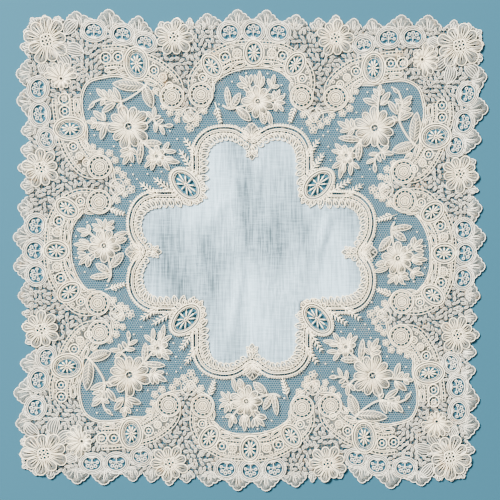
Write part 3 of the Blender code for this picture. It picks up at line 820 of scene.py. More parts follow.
# %% The net ground
NET_PITCH = 1.95
NET_REACH = 192.0
THREAD_OVERLAP = 1.10
NET_EDGE = (
    (0.8, 147.5), (13, 147), (24.6, 143), (33.2, 133), (32.4, 119), (44.4, 110.8),
    (50.8, 103.4), (56.4, 110.8), (68, 113.4), (76.6, 119.4), (81.6, 132.4), (98.2, 133.6),
    (110, 136.6), (124, 137), (134.6, 131), (138.6, 119), (139.6, 108), (136.8, 97),
    (136.6, 85), (132.6, 76), (119, 73), (113.4, 65.6), (113, 56), (104.4, 50.4),
    (110.8, 43.4), (118, 34.6), (132.6, 31.4), (141, 22), (146.2, 9),
)
net_outline = smooth(np.concatenate([turn_quarters(NET_EDGE, q) for q in range(4)]), 3.0, True)


def net_edges():
    """Start and end points of every thread of the hexagonal net."""
    side = NET_PITCH / math.sqrt(3)
    last_row, last_column = int(NET_REACH / (1.5 * side)), int(NET_REACH / NET_PITCH)
    rows = np.arange(-last_row, last_row + 1)
    columns = np.arange(-last_column, last_column + 1)
    column, row = np.meshgrid(columns, rows)
    x = (column + 0.5 * (row % 2)).ravel() * NET_PITCH
    y = row.ravel() * 1.5 * side
    top = np.stack([x, y + side], axis=1)
    right = np.stack([x + NET_PITCH / 2, y + side / 2], axis=1)
    low_right = np.stack([x + NET_PITCH / 2, y - side / 2], axis=1)
    left = np.stack([x - NET_PITCH / 2, y + side / 2], axis=1)
    starts = np.concatenate([left, top, right])
    ends = np.concatenate([top, right, low_right])
    return starts, ends


def net_tubes(starts, ends):
    """Three-sided threads between the points, all worked out at once."""
    middle, half = (starts + ends) / 2, (ends - starts) / 2 * THREAD_OVERLAP
    a, b = lay(middle - half), lay(middle + half)
    p = settle(a, np.full(len(a), NET_HEIGHT))
    q = settle(b, np.full(len(b), NET_HEIGHT))
    along = (q - p)[:, :2]
    along /= np.linalg.norm(along, axis=1, keepdims=True)
    left = np.stack([-along[:, 1], along[:, 0], np.zeros(len(along))], axis=1)
    angles = np.pi / 2 + 2 * np.pi * np.arange(3) / 3
    ring = (left[:, None] * np.cos(angles)[None, :, None]
            + np.array([0, 0, 1.0]) * np.sin(angles)[None, :, None]) * NET_THREAD * MM
    corners = np.concatenate([p[:, None] + ring, q[:, None] + ring], axis=1).reshape(-1, 3)
    base = np.arange(len(starts))[:, None] * 6
    walls = [[0, 3, 4], [0, 4, 1], [1, 4, 5], [1, 5, 2], [2, 5, 3], [2, 3, 0], [0, 1, 2], [3, 5, 4]]
    faces = (base[:, :, None] + np.array(walls)[None]).reshape(-1, 3)
    return corners, faces


def make_net():
    """The net threads where the net shows, in four pieces, one for each side."""
    starts, ends = net_edges()
    middle = (starts + ends) / 2
    band = ring_round(BAND_OUTER)
    shown = inside(middle, sideways(net_outline, 1.2, True))
    shown &= ~inside(middle, sideways(band, -1.5, True))
    for quarter in range(4):
        shown &= ~inside(middle, turn_quarters(ellipse(*LAWN_OVAL, grow=1.0), quarter))
    starts, ends, middle = starts[shown], ends[shown], middle[shown]
    bearing = np.arctan2(middle[:, 0], middle[:, 1])
    part = (np.floor((bearing + math.pi / 4) / (math.pi / 2)) % 4).astype(int)
    pieces = []
    for quarter, side in enumerate(QUARTERS):
        chosen = part == quarter
        corners, faces = net_tubes(starts[chosen], ends[chosen])
        pieces.append(weave_mesh("net_threads_" + side, [(corners, faces, 0)], [NET]))
    return pieces


net_pieces = make_net()
for number, net_piece in enumerate(net_pieces):
    dress(net_piece, ["net_ground"] if number == 0 else [])
print("net threads:", sum(len(piece.data.polygons) for piece in net_pieces) // 8)

# %% [markdown]
# The small forms of this lace come back again and again, so each has a short function
# that returns its strokes, and a whole arch is then only a handful of lines. The first
# are rings: plain ones, rosettes with a knot, and open rings that hold a smaller one.

# %% Rings and rosettes
def ring(x, y, radius, cord=FINE_CORD, height=GROUND_CORD, count=None):
    """A round cord, with more corners the wider it is."""
    count = count or max(8, int(radius * 5))
    return stroke(circle(x, y, radius, count), cord, height, True)


def rosette(x, y, radius, height, petals=6):
    """A ring with a small ring of petals and a knot in the middle."""
    strokes = [ring(x, y, radius, 0.32, height), ring(x, y, radius * 0.20, 0.28, height + 0.2, 7)]
    for k in range(petals):
        a = 2 * math.pi * k / petals
        strokes.append(ring(*at_angle(x, y, radius * 0.60, a), radius * 0.26, 0.22, height + 0.1, 7))
    return strokes


def open_ring(x, y, radius, height):
    """A bold ring round an open space that holds a smaller ring."""
    strokes = [ring(x, y, radius, 0.44, height + 0.08, 16), ring(x, y, radius * 0.42, 0.36, height, 10)]
    for k in range(6):
        a = 2 * math.pi * (k + 0.5) / 6
        bar = [at_angle(x, y, radius * 0.42, a), at_angle(x, y, radius, a)]
        strokes.append(stroke(bar, 0.15, height))
    return strokes


def blossom(x, y, radius, height):
    """A tiny flower of round petals."""
    strokes = [ring(x, y, radius * 0.30, 0.26, height + 0.15, 6)]
    for k in range(5):
        a = 0.3 + 2 * math.pi * k / 5
        strokes.append(ring(*at_angle(x, y, radius * 0.88, a), radius * 0.46, 0.26, height, 8))
    return strokes


print("strokes in a rosette:", len(rosette(0, 0, 3.0, 0.0)))

# %% [markdown]
# Along the bands run rails: two cords with bars between them, which leave a row of tiny
# holes. Their inner side is a chain of long slotted loops. The cords come from one
# function and the openings of the cloth from another, so both follow the same line.

# %% Rails and chains
RAIL_PITCH = 2.6
BAR_CORD = 0.29
CHAIN_PITCH = 11.0


def ladder(line, outer, inner, height, pitch=RAIL_PITCH, closed=False):
    """Two cords beside a line with small bars between them: a row of tiny holes."""
    strokes = [stroke(sideways(line, off, closed), FINE_CORD, height, closed) for off in (outer, inner)]
    at, way = spaced(line, pitch, closed)
    for point, side in zip(at, left_of(way)):
        strokes.append(stroke([point + side * outer, point + side * inner], BAR_CORD, height))
    return strokes


def slots_along(line, outer, inner, closed, length, bridge):
    """Openings in the cloth under a ladder, with small bridges between them."""
    at, _ = spaced(line, length, closed)
    count = len(at) if closed else len(at) - 1
    step = min(0.8, length / 8)
    fine, _ = spaced(line, step, closed)
    if closed:
        fine = np.concatenate([fine, fine[:1]])
    high, low = sideways(fine, outer), sideways(fine, inner)
    per_slot = (len(fine) - 1) / count
    slots = []
    for k in range(count):
        a = int(k * per_slot + bridge / step)
        b = int((k + 1) * per_slot - bridge / step)
        if b - a > 1:
            pick = np.linspace(a, b, max(2, (b - a) // 3)).astype(int)
            slots.append(np.concatenate([high[pick], low[pick][::-1]]))
    return slots


def chain_loops(line, offset):
    """Middle, way and half length of the long slotted loops that edge an arm."""
    at, way = spaced(sideways(line, offset), CHAIN_PITCH)
    return [(*pair, CHAIN_PITCH * 0.47) for pair in zip((at[1:] + at[:-1]) / 2, way[:-1])]


def chain_oval(point, along, half_length, half_width, count):
    """One long loop of a chain, or the slot in it."""
    turn = math.degrees(math.atan2(along[1], along[0]))
    return ellipse(*point, half_length, half_width, turn, count)


print("loops in 60 mm:", len(chain_loops(np.array([(0.0, 0.0), (60.0, 0.0)]), 0.0)))

# %% [markdown]
# A leaf is a pointed outline with a cord round it and a raised middle vein, and a large
# one has side veins too. The profile is how wide a leaf is at each share of its length.

# %% Leaves
LEAF_PROFILE = ((0.0, 0.10), (0.14, 0.56), (0.34, 0.92), (0.55, 1.0), (0.76, 0.78), (0.91, 0.40), (1.0, 0.0))


def leaf_axes(root, tip):
    """A leaf's root, the way to its tip at full length, and the way to its left."""
    root, tip = np.asarray(root, float), np.asarray(tip, float)
    along = tip - root
    return root, along, np.array([-along[1], along[0]]) / max(np.linalg.norm(along), 1e-9)


def leaf_outline(root, tip, width, curve=0.0):
    """A pointed leaf, bent to its left by a share of its length."""
    root, along, side = leaf_axes(root, tip)
    bow = curve * np.linalg.norm(along)
    left, right = [], []
    for t, share in LEAF_PROFILE:
        middle = root + along * t + side * bow * math.sin(math.pi * t)
        left.append(middle + side * width / 2 * share)
        right.append(middle - side * width / 2 * share)
    return np.array(left + right[-2::-1])


def leaf_strokes(root, tip, width, height, cord=FINE_CORD, veins=0):
    """The outline of a leaf, its middle vein and, on large leaves, side veins."""
    root, along, side = leaf_axes(root, tip)
    strokes = [stroke(leaf_outline(root, tip, width), cord, height, True)]
    if width > 2.6:
        vein = [root + along * t for t in (0.05, 0.45, 0.82)]
        strokes.append(stroke(vein, [0.34, 0.28, 0.2], height + 0.08))
    for k in range(veins):
        t = 0.16 + 0.56 * k / max(veins - 1, 1)
        middle = root + along * t
        for way in (-1, 1):
            reach = width * 0.40 * math.sin(math.pi * min(t + 0.18, 0.92)) ** 0.6
            end = middle + along / np.linalg.norm(along) * width * 0.34 + side * way * reach
            strokes.append(stroke([middle, end], 0.26, height + 0.1))
    return strokes


print("corners of a leaf:", len(leaf_outline((0, 0), (8, 0), 3.0)))

# %% [markdown]
# The star wheels are worked over an oval opening: two rims, spindle-shaped arms that
# thicken towards their tips, a fine thread that ties the tips, and a knot in the middle
# whose thread has kept a warmer tone.

# %% Star wheels
STAR_ARMS = 10


def star_wheel(spec, height, net_ring=False):
    """A star in an oval: rims, spindle-shaped arms and a warm knot in the middle."""
    x, y, half_length, half_width, turn = spec
    strokes = [stroke(ellipse(*spec, count=22, grow=0.2), 0.38, height + 0.12, True),
               stroke(ellipse(*spec, count=22, grow=2.0), 0.42, height + 0.05, True)]
    reach = 0.62 if net_ring else 0.80
    outer = ellipse(x, y, half_length * reach, half_width * reach, turn, STAR_ARMS)
    rim = ellipse(x, y, half_length, half_width, turn, STAR_ARMS)
    hub = ellipse(x, y, half_length * 0.14, half_width * 0.14, turn, STAR_ARMS)
    for number, (a, b, c) in enumerate(zip(hub, outer, rim)):
        tip = a + (b - a) * (1.0 if number % 2 else 0.86)
        arm = np.array([a, a + (tip - a) * 0.30, a + (tip - a) * 0.78, tip])
        thick = np.array([0.20, 0.36, 0.66, 0.36]) * (1.1 if net_ring else 1.0)
        strokes.append(stroke(arm, thick, height - 0.1))
        strokes.append(stroke([tip, c], 0.14, height - 0.15))
    for share, count in (((0.74, 24), (0.88, 28)) if net_ring else ((0.90, 26),)):
        strokes.append(stroke(ellipse(x, y, half_length * share, half_width * share, turn, count),
                              0.13, height - 0.15, True))
    return strokes


def star_hub(spec, height):
    """The warm knot that ties the arms of a star together."""
    x, y, half_length, half_width, turn = spec
    knot = ellipse(x, y, half_length * 0.12, half_width * 0.12, turn, 8)
    return [stroke(knot, 0.42, height + 0.1, True)]


print("strokes in the lawn's star wheel:", len(star_wheel(LAWN_OVAL, 0.0)))

# %% [markdown]
# An open flower is a ring of petals round a heart. Each petal has a cord round it, long
# ribs, and a narrow opening in the cloth between them, and the whole head is slightly
# domed, so the light catches its middle.

# %% Open flowers
def petal_reach(k):
    """Petals of a hand-drawn flower are never equally long."""
    return (0.98, 0.88, 0.96, 0.84)[k % 4]


def flower_petal(x, y, angle, spread_angle, inner, outer, notch):
    """The outline of one petal of an open flower, pointed where the notch is deep."""
    point = 1.0 + notch * 0.35
    shoulder = outer * (0.90 - notch * 0.6)
    shares = ((-0.50, inner), (-0.94, outer * 0.60), (-0.90, shoulder), (-0.46, outer * 0.99),
              (0.0, outer * point), (0.46, outer * 0.99), (0.90, shoulder), (0.94, outer * 0.60),
              (0.50, inner))
    return np.array([at_angle(x, y, reach, angle + share * spread_angle / 2) for share, reach in shares])


def petal_slots(x, y, radius, petals):
    """A long narrow opening in the middle of each petal."""
    slots = []
    for k in range(petals):
        a = 2 * math.pi * k / petals
        reach = radius * petal_reach(k)
        slots.append(leaf_outline(at_angle(x, y, reach * 0.42, a), at_angle(x, y, reach * 0.84, a), 1.25))
    return slots


def flower_head(x, y, radius, petals, notch, height, ribs=3, start=0.0, dome=0.35, heart=0.24):
    """An open flower: petals with long ribs round a heart, raised towards the middle."""
    strokes = []
    width = 2 * math.pi / petals
    for k in range(petals):
        angle = start + width * k
        reach_out = radius * petal_reach(k)
        petal = flower_petal(x, y, angle, width * 0.94, radius * heart, reach_out, notch)
        outline = smooth(petal, 2.2)
        reach = np.hypot(outline[:, 0] - x, outline[:, 1] - y) / radius
        strokes.append(stroke(outline, FINE_CORD + 0.08, height + dome * (1 - reach ** 2)))
        for r in range(ribs):
            share = (r + 1) / (ribs + 1) * 2 - 1
            rib, heights = [], []
            for s in (heart * 1.05, 0.50, 0.92 - 0.12 * abs(share)):
                a = angle + width * 0.5 * share * 0.80 * min(1.0, 0.55 + s * 0.6)
                rib.append(at_angle(x, y, reach_out * s, a))
                heights.append(height + dome * (1 - s * s) + 0.08)
            strokes.append(stroke(rib, [0.20, 0.33, 0.24], heights))
    strokes.append(ring(x, y, radius * heart, FINE_CORD + 0.06, height + dome))
    return strokes


def petal_cloth(x, y, radius, petals, notch, start=0.0, heart=0.24):
    """The cloth outlines of a flower: its petals and its heart."""
    width = 2 * math.pi / petals
    shapes = [circle(x, y, radius * heart * 1.25, 14)]
    for k in range(petals):
        petal = flower_petal(x, y, start + width * k, width * 0.94, radius * heart,
                             radius * petal_reach(k), notch)
        shapes.append(smooth(petal, 3.0, True))
    return shapes


print("strokes in a flower of nine petals:", len(flower_head(0, 0, 18.0, 9, 0.1, 0.0)))

# %% [markdown]
# An arch is a curved band with a fixed recipe, from outside in: a rail of tiny holes, a
# row of rings and rosettes with the star wheels among them, another rail, and a chain of
# long loops beside the net. Its round ends are bulbs. The tables give the middle line of
# each band, its wheels and its rings.

# %% Where the arches and arms lie
SIDE_OVALS = (
    (1.3, 159.4, 8.3, 6.2, 90), (-32.4, 148.8, 8.4, 5.6, 126), (35, 150.2, 8.4, 5.6, 57),
)
TOP_ARM_OVAL = (98.2, 147.5, 11.0, 7.4, 93.0)
RIGHT_ARM_OVAL = (150.0, 92.9, 11.0, 8.2, 5.0)
ARCH_LINE = (
    (-41.4, 125.6), (-41.4, 138.6), (-32.4, 148.8), (-21.4, 155.8), (-11.9, 158.8), (1.3, 159.8),
    (15.8, 158.8), (24.6, 157), (35, 150.2), (41.4, 139), (40.2, 124.6),
)
TOP_ARM_LINE = (
    (68, 123.6), (70.4, 134.6), (83.5, 144.5), (98.2, 148.5), (111.8, 150.8), (121.4, 151.2),
)
RIGHT_ARM_LINE = (
    (153.4, 119.6), (154.2, 107.2), (150, 92.9), (144.4, 78.8), (135, 67), (124, 64.6),
)
BULB_RADIUS = 9.6
# Rings on the bands: centre, radius, and whether the ring is open round a smaller one.
ARCH_RINGS = (
    (-11.9, 158.6, 3.6, False), (15.8, 158.6, 3.6, False), (-21.4, 155.8, 4.5, True),
    (24.6, 156.9, 4.5, True), (-39.8, 139.4, 3.4, True), (40.8, 139.2, 3.4, True),
)
TOP_ARM_RINGS = (
    (111.8, 151.4, 4.3, True), (121.2, 151.6, 4.4, True), (84.0, 145.0, 4.0, True),
    (76.4, 140.0, 3.0, False), (71.2, 134.4, 2.8, True),
)
RIGHT_ARM_RINGS = (
    (154.2, 117.6, 4.4, True), (154.6, 107.8, 4.2, True), (144.6, 78.8, 4.0, True),
    (139.6, 71.6, 3.2, False), (132.8, 66.6, 3.0, True),
)
RING_ROOM = 0.80
# Name, middle line, half width, wheels, rings and bulbs of each band.
ARCHES = (
    ("arch_", ARCH_LINE, 9.5, SIDE_OVALS, ARCH_RINGS, (ARCH_LINE[0], ARCH_LINE[-1])),
    ("first_arm_", TOP_ARM_LINE, 10.0, (TOP_ARM_OVAL,), TOP_ARM_RINGS, (TOP_ARM_LINE[0],)),
    ("second_arm_", RIGHT_ARM_LINE, 10.0, (RIGHT_ARM_OVAL,), RIGHT_ARM_RINGS, (RIGHT_ARM_LINE[-1],)),
)
print("bands in a quarter:", len(ARCHES))

# %% [markdown]
# A bulb is a ring of holes round a rosette. The openings of an arch stop where a bulb or
# a star wheel lies, and so do its cords, because one function cuts back any stroke that
# would cross an oval.

# %% Bulbs and openings
def bulb(x, y, radius, height):
    """The round end of an arch: a ring of holes round a rosette."""
    strokes = [ring(x, y, radius, 0.36, height + 0.05, 26),
               ring(x, y, radius * 0.50, 0.30, height + 0.08, 18)]
    strokes.extend(ladder(circle(x, y, radius * 0.76, 26), 1.2, -1.2, height, 3.2, True))
    strokes.extend(rosette(x, y, radius * 0.34, height + 0.1, 6))
    return strokes


def bulb_slots(x, y, radius):
    """The holes in a bulb: slots between its rings, and five dots in its rosette."""
    holes = slots_along(circle(x, y, radius * 0.76, 30), 0.78, -0.78, True, 3.2, 0.58)
    return holes + [circle(*at_angle(x, y, radius * 0.22, a), 0.5, 5)
                    for a in np.linspace(0.5, 2 * math.pi - 0.6, 5)]


def near(points, spots, margin):
    """Which points come within a margin of any of the round spots."""
    hit = np.zeros(len(points), bool)
    for x, y, radius in spots:
        hit |= np.hypot(points[:, 0] - x, points[:, 1] - y) < radius + margin
    return hit


def clear_of_ovals(strokes, ovals, grow=1.4):
    """Strokes without the stretches that would cross a star wheel."""
    kept = []
    for s in strokes:
        points = s["points"]
        blocked = np.zeros(len(points), bool)
        for spec in ovals:
            blocked |= inside(points, ellipse(*spec, grow=grow))
        if not blocked.any():
            kept.append(s)
            continue
        heights = np.broadcast_to(np.asarray(s["height"], float), (len(points),))
        radii = np.broadcast_to(np.asarray(s["radius"], float), (len(points),))
        run = []
        for i, stop in enumerate(list(blocked) + [True]):
            if not stop:
                run.append(i)
            else:
                if len(run) > 1:
                    kept.append(stroke(points[run], radii[run], heights[run]))
                run = []
    return kept


def arch_slots(line, half, bulbs, ovals):
    """The openings of an arch, clear of its bulbs and wheels."""
    line = smooth(line, 1.8)
    slots = []
    ends = [(x, y, BULB_RADIUS) for x, y in bulbs]
    for outer, inner in ((half - 0.75, half - 1.95), (-(half - 4.85), -(half - 3.55))):
        for slot in slots_along(line, outer, inner, False, RAIL_PITCH, 0.62):
            blocked = near(slot, ends, 0.6).any()
            for spec in ovals:
                blocked |= inside(slot, ellipse(*spec, grow=2.4)).any()
            if not blocked:
                slots.append(slot)
    for x, y in bulbs:
        slots.extend(bulb_slots(x, y, BULB_RADIUS))
    for point, along, half_length in chain_loops(line, -(half - 0.9)):
        loop = chain_oval(point, along, half_length * 0.66, 0.75, 10)
        if not near(loop, ends, 1.0).any():
            if not any(inside(loop, ellipse(*spec, grow=2.6)).any() for spec in ovals):
                slots.append(loop)
    return slots


print("openings of a side arch:", len(arch_slots(ARCH_LINE, 9.5, ARCHES[0][5], SIDE_OVALS)))

# %% [markdown]
# Now the cords and the cloth of a whole band. Small plain rings fill the room that is
# left between the larger ones, in three rows.

# %% Cords and cloth of a band
def arch_strokes(line, half, ovals, rings, bulbs, height):
    """The whole recipe of an arch, cut back where its bulbs and star wheels lie."""
    line = smooth(line, 1.8)
    strokes = ladder(line, half - 0.2, half - 2.5, height)
    strokes.append(stroke(sideways(line, half - 3.6), 0.26, height))
    strokes.extend(ladder(line, -(half - 5.3), -(half - 3.1), height))
    strokes.append(stroke(sideways(line, -(half - 6.4)), 0.26, height))
    for point, along, half_length in chain_loops(line, -(half - 0.9)):
        loop = chain_oval(point, along, half_length, 2.3, 16)
        slot = chain_oval(point, along, half_length * 0.72, 1.15, 12)
        strokes.append(stroke(loop, FINE_CORD + 0.06, height + 0.06, True))
        strokes.append(stroke(slot, FINE_CORD, height, True))
    strokes = clear_of_ovals(strokes, [(x, y, BULB_RADIUS, BULB_RADIUS, 0) for x, y in bulbs], 0.1)
    strokes = clear_of_ovals(strokes, ovals)
    for x, y, radius, is_open in rings:
        strokes.extend(open_ring(x, y, radius, height) if is_open else rosette(x, y, radius, height + 0.1))
    between, way = spaced(line, 3.6)
    taken = [(x, y, r) for x, y, r, _ in rings] + [(x, y, BULB_RADIUS) for x, y in bulbs]
    taken += [(o[0], o[1], o[2] + 0.6) for o in ovals]
    for offset in (half - 5.0, 0.8, -(half - 7.8)):
        spots = between + left_of(way) * offset
        for point, hit in zip(spots, near(spots, taken, 1.2)):
            if not hit:
                strokes.append(ring(*point, 1.2, FINE_CORD, height, 7))
    for x, y in bulbs:
        strokes.extend(bulb(x, y, BULB_RADIUS, height))
    for spec in ovals:
        strokes.extend(star_wheel(spec, height, spec[2] > 10))
    return strokes


def band_outline(line, half):
    """The outline of a curved band from its middle line and half width."""
    line = smooth(line, 3.0)
    return np.concatenate([sideways(line, half), sideways(line, -half)[::-1]])


def arch_cloth(line, half, ovals, rings, bulbs):
    """Outlines and openings of the cloth behind an arch."""
    shapes = [band_outline(line, half - 0.3)] + [circle(x, y, BULB_RADIUS, 20) for x, y in bulbs]
    shapes.extend(ellipse(*spec, count=20, grow=1.8) for spec in ovals)
    holes = [ellipse(*spec, count=20, grow=0.1) for spec in ovals]
    holes.extend(circle(x, y, r * RING_ROOM, 12) for x, y, r, is_open in rings if is_open)
    holes.extend(arch_slots(line, half, bulbs, ovals))
    return shapes, holes


print("strokes of a side arch:", len(arch_strokes(*ARCHES[0][1:], RAISED_CORD)))

# %% [markdown]
# Every raised motif is made the same way: its cloth, its cords, the warm knots of its
# stars, and for some flowers patches of close work that lie on the cloth. They are one
# mesh with a finish for each, so a motif is one piece that stands for one solid.


def make_motif(name, node, strokes, shapes, holes, quarter, hubs=(), dense=(), toile=PETAL_TOILE_WITH_PAINTED_SHADE):
    """One raised motif: its cloth, its cords, the warm knots of its stars, and close patches."""
    cloth = cut_cloth(shapes, holes, RAISED_CLOTH, quarter)
    blocks = [(*cloth, 0), (*spin(strokes, quarter), 1)]
    if hubs:
        blocks.append((*spin(hubs, quarter), 2))
    if dense:
        above = tuple(height + 0.02 for height in RAISED_CLOTH)
        blocks.append((*cut_cloth(list(dense), [], above, quarter), 3))
    piece = weave_mesh(name, blocks, [toile, CORD, WARM, DENSE])
    dress(piece, [node])
    return piece


for quarter, side in enumerate(QUARTERS):
    for stem, line, half, ovals, rings, bulbs in ARCHES:
        motif = arch_strokes(line, half, ovals, rings, bulbs, RAISED_CORD)
        shapes, holes = arch_cloth(line, half, ovals, rings, bulbs)
        hubs = [s for spec in ovals for s in star_hub(spec, RAISED_CORD)]
        make_motif("lace_" + stem + side, stem + side, motif, shapes, holes, quarter, hubs, toile=TOILE_WITH_PAINTED_SHADE)

# %% [markdown]
# The corner flower and the side roses are open flowers whose heart is a square of nine
# little rings. Four petals of the corner flower curl over and show their close side. The
# fan rose beside it is seen from the side: a fan of ribbed petals over a row of small ones.

# %% Shapes of the flowers and roses
# Centre, radius, number of petals, and the depth of the notches between them.
CORNER_FLOWER = (166.9, 165.0, 18.6, 9, 0.06)
SIDE_ROSES = ((66.8, 171.4, 15.4, 9, 0.08), (-62.6, 171.0, 15.4, 9, 0.08))
FAN_ROSE = (137.4, 154.0, 13.2)
FAN_PETALS = 7
LOW_PETALS = 5
FLOWER_HEART = 0.27
HEART_PITCH = 3.0
HEART_HOLE = 1.1
# Petals that curl over: the bearings of root and tip in degrees, and the width.
TURNED_PETALS = ((176.0, 214.0, 3.6), (228.0, 262.0, 4.0), (330.0, 352.0, 3.0), (86.0, 104.0, 3.0))


def heart_spots(x, y, turn=12.0):
    """Nine places in a small square, turned a little."""
    a = math.radians(turn)
    steps = [(i * HEART_PITCH, j * HEART_PITCH) for i in (-1, 0, 1) for j in (-1, 0, 1)]
    return [(x + i * math.cos(a) - j * math.sin(a), y + i * math.sin(a) + j * math.cos(a)) for i, j in steps]


def corner_flower_strokes(x, y, radius, petals, notch, height):
    """A flower with ribbed petals and nine little rings in its heart."""
    strokes = flower_head(x, y, radius, petals, notch, height, ribs=2, heart=FLOWER_HEART, dome=0.5)
    for sx, sy in heart_spots(x, y):
        strokes.append(ring(sx, sy, 1.40, 0.30, height + 0.45, 8))
    return strokes


def turned_petals(x, y, radius):
    """Petals that curl over and show their close, plain side."""
    shapes = []
    for start, end, spread in TURNED_PETALS:
        a, b = math.radians(start), math.radians(end)
        root = at_angle(x, y, radius * 0.42, a)
        tip = at_angle(x, y, radius * 0.96, b)
        shapes.append(leaf_outline(root, tip, spread, 0.12))
    return shapes


def fan_petals(x, y, radius):
    """Angle, width, inner and outer reach of the petals of the fan rose."""
    fan = [(math.radians(-78.0 + 26.0 * k), math.radians(26.0), radius * 0.16, radius)
           for k in range(FAN_PETALS)]
    low = [(math.radians(112.0 + 34.0 * k), math.radians(34.0), radius * 0.14, radius * 0.62)
           for k in range(LOW_PETALS)]
    return fan + low


def fan_rose_strokes(x, y, radius, height):
    """A rose seen from the side: a fan of ribbed petals over a row of small ones."""
    strokes = []
    for angle, width, inner, outer in fan_petals(x, y, radius):
        outline = smooth(flower_petal(x, y, angle, width * 0.95, inner, outer, 0.08), 2.2)
        strokes.append(stroke(outline, FINE_CORD + 0.06, height + 0.15))
        for share in (-0.4, 0.4):
            a = angle + share * width * 0.5
            rib = [at_angle(x, y, outer * s, a) for s in (0.26, 0.55, 0.84)]
            strokes.append(stroke(rib, [0.2, 0.32, 0.22], height + 0.2))
    strokes.append(ring(x, y, 1.7, 0.38, height + 0.3, 10))
    return strokes


def fan_rose_cloth(x, y, radius):
    """The cloth outlines of the fan rose."""
    shapes = [circle(x, y, radius * 0.3, 12)]
    for angle, width, inner, outer in fan_petals(x, y, radius):
        shapes.append(smooth(flower_petal(x, y, angle, width * 0.95, inner, outer, 0.08), 3.0, True))
    return shapes


print("petals of the fan rose:", len(fan_petals(*FAN_ROSE)))

# %% [markdown]
# Each flower is cut, corded and placed four times. The holes of the heart and the slots
# of the petals go right through the raised cloth.

# %% Corner flowers and roses
def open_flower(node, flower, quarter, dense=()):
    """A flower with a heart of nine holes, in its place in a quarter."""
    x, y, radius, petals, notch = flower
    holes = [circle(sx, sy, HEART_HOLE, 6) for sx, sy in heart_spots(x, y)]
    make_motif("lace_" + node, node, corner_flower_strokes(*flower, RAISED_CORD),
               petal_cloth(*flower, 0.0, FLOWER_HEART), holes + petal_slots(x, y, radius, petals), quarter,
               dense=dense)


for quarter, side in enumerate(QUARTERS):
    open_flower("corner_flower_" + side, CORNER_FLOWER, quarter, turned_petals(*CORNER_FLOWER[:3]))
    make_motif("lace_fan_rose_" + side, "fan_rose_" + side, fan_rose_strokes(*FAN_ROSE, RAISED_CORD),
               fan_rose_cloth(*FAN_ROSE), [circle(*FAN_ROSE[:2], 1.2, 8)], quarter)
    for number, rose in enumerate(SIDE_ROSES):
        open_flower(f"side_rose_{side}_{number + 1}", rose, quarter)

# %% [markdown]
# The sprays are the prettiest part: an open flower with stems that curl away and end in
# buds and leaflets. Each leaf is outlined with a cord and has a vein, and the large ones
# have side veins too. The tables give where each leaf springs from, its tip and width.

# %% Stems and leaves of the sprays
CORNER_SPRAY_FLOWER = (99.8, 99.8, 17.4, 10, 0.14)
CORNER_SPRAY_BLOSSOM = (76.7, 77.4, 8.0, 7, 0.26)
CORNER_SPRAY_STEMS = (
    ((104, 98), (113, 104.4), (120.1, 106)),
    ((135.4, 84.6), (131.6, 87.6), (125.7, 94.7), (120.1, 106), (121.8, 119), (118.5, 129.4)),
    ((101, 104), (102.7, 120.8), (103, 129)),
    ((96, 101), (79.4, 98.8)),
    ((96, 96), (88.4, 89.4), (79, 78)),
    ((101, 94), (103.2, 84.6), (106.3, 80.8), (101.2, 76.4), (100.7, 68.4)),
)
CORNER_SPRAY_LEAVES = (
    (131.8, 86, 134.1, 112.1, 8.4), (133.2, 87, 115, 81, 8.4), (103, 127.4, 104, 134, 2.8),
    (102.7, 125.4, 98.6, 130.4, 3.2), (103, 125.9, 107, 130, 3.2), (102.7, 120.2, 97.4, 125.6, 3.2),
    (102.2, 118.6, 90.2, 122.3, 4.4), (105, 119.4, 111.8, 128, 4.4), (104.4, 118.6, 111, 120.6, 2.8),
    (118.4, 110.6, 111.2, 120.9, 4.2), (119.4, 112.6, 117.8, 119.2, 2.6), (121.2, 118.9, 116.4, 122.2, 2.8),
    (122, 118.4, 129.6, 125, 3.8), (121.8, 115.8, 129, 120.4, 3.2), (121.4, 112.8, 129.4, 114.8, 3.2),
    (119.6, 107.9, 124.8, 113.6, 3), (120.1, 106.2, 131, 111.4, 4), (118.4, 105.9, 114.4, 108.8, 2.6),
    (79.8, 98.8, 70, 104.8, 3.8), (79.8, 99.3, 76.3, 106.8, 3), (83, 98.8, 80.4, 107, 3.4),
    (80, 98.8, 71.8, 97, 3.2), (83, 98.4, 78.2, 93.4, 3), (88.9, 90.2, 70.6, 91.8, 4.8),
    (87.4, 88.4, 86.9, 73.4, 4.8), (74.4, 80.2, 67.8, 87, 3.2), (73.6, 79, 65.2, 81.6, 3.2),
    (73.6, 72.4, 65.4, 67.2, 3.4), (74, 71.6, 71.6, 58.8, 3.6), (75.4, 71.3, 75, 63.8, 2.8),
    (80.8, 71.2, 80.6, 61.8, 3.2), (81.6, 72, 87.8, 67.2, 3.2), (106.3, 81, 112, 85.2, 2.8),
    (106.8, 79.8, 115.8, 79, 3.2), (106.6, 79.6, 108.5, 74.2, 2.6), (103.2, 78.6, 95.6, 78.1, 2.8),
    (102.2, 77.6, 105.6, 72.2, 2.6), (100.8, 74.6, 93.8, 71, 2.8), (100.7, 70.4, 101.2, 64, 2.6),
    (118.5, 127.4, 114.6, 131.4, 2.4),
)
SIDE_SPRAY_FLOWER = (5.0, 120.4, 13.0, 9, 0.14)
SIDE_SPRAY_STEMS = (
    ((3, 118.6), (-6.3, 116.8), (-18, 114.8), (-24.3, 117.3)),
    ((2.6, 124), (-2.2, 134)),
    ((6, 124), (6.4, 134)),
    ((9, 124), (15.8, 133)),
    ((9, 121.4), (18.6, 121.4)),
)
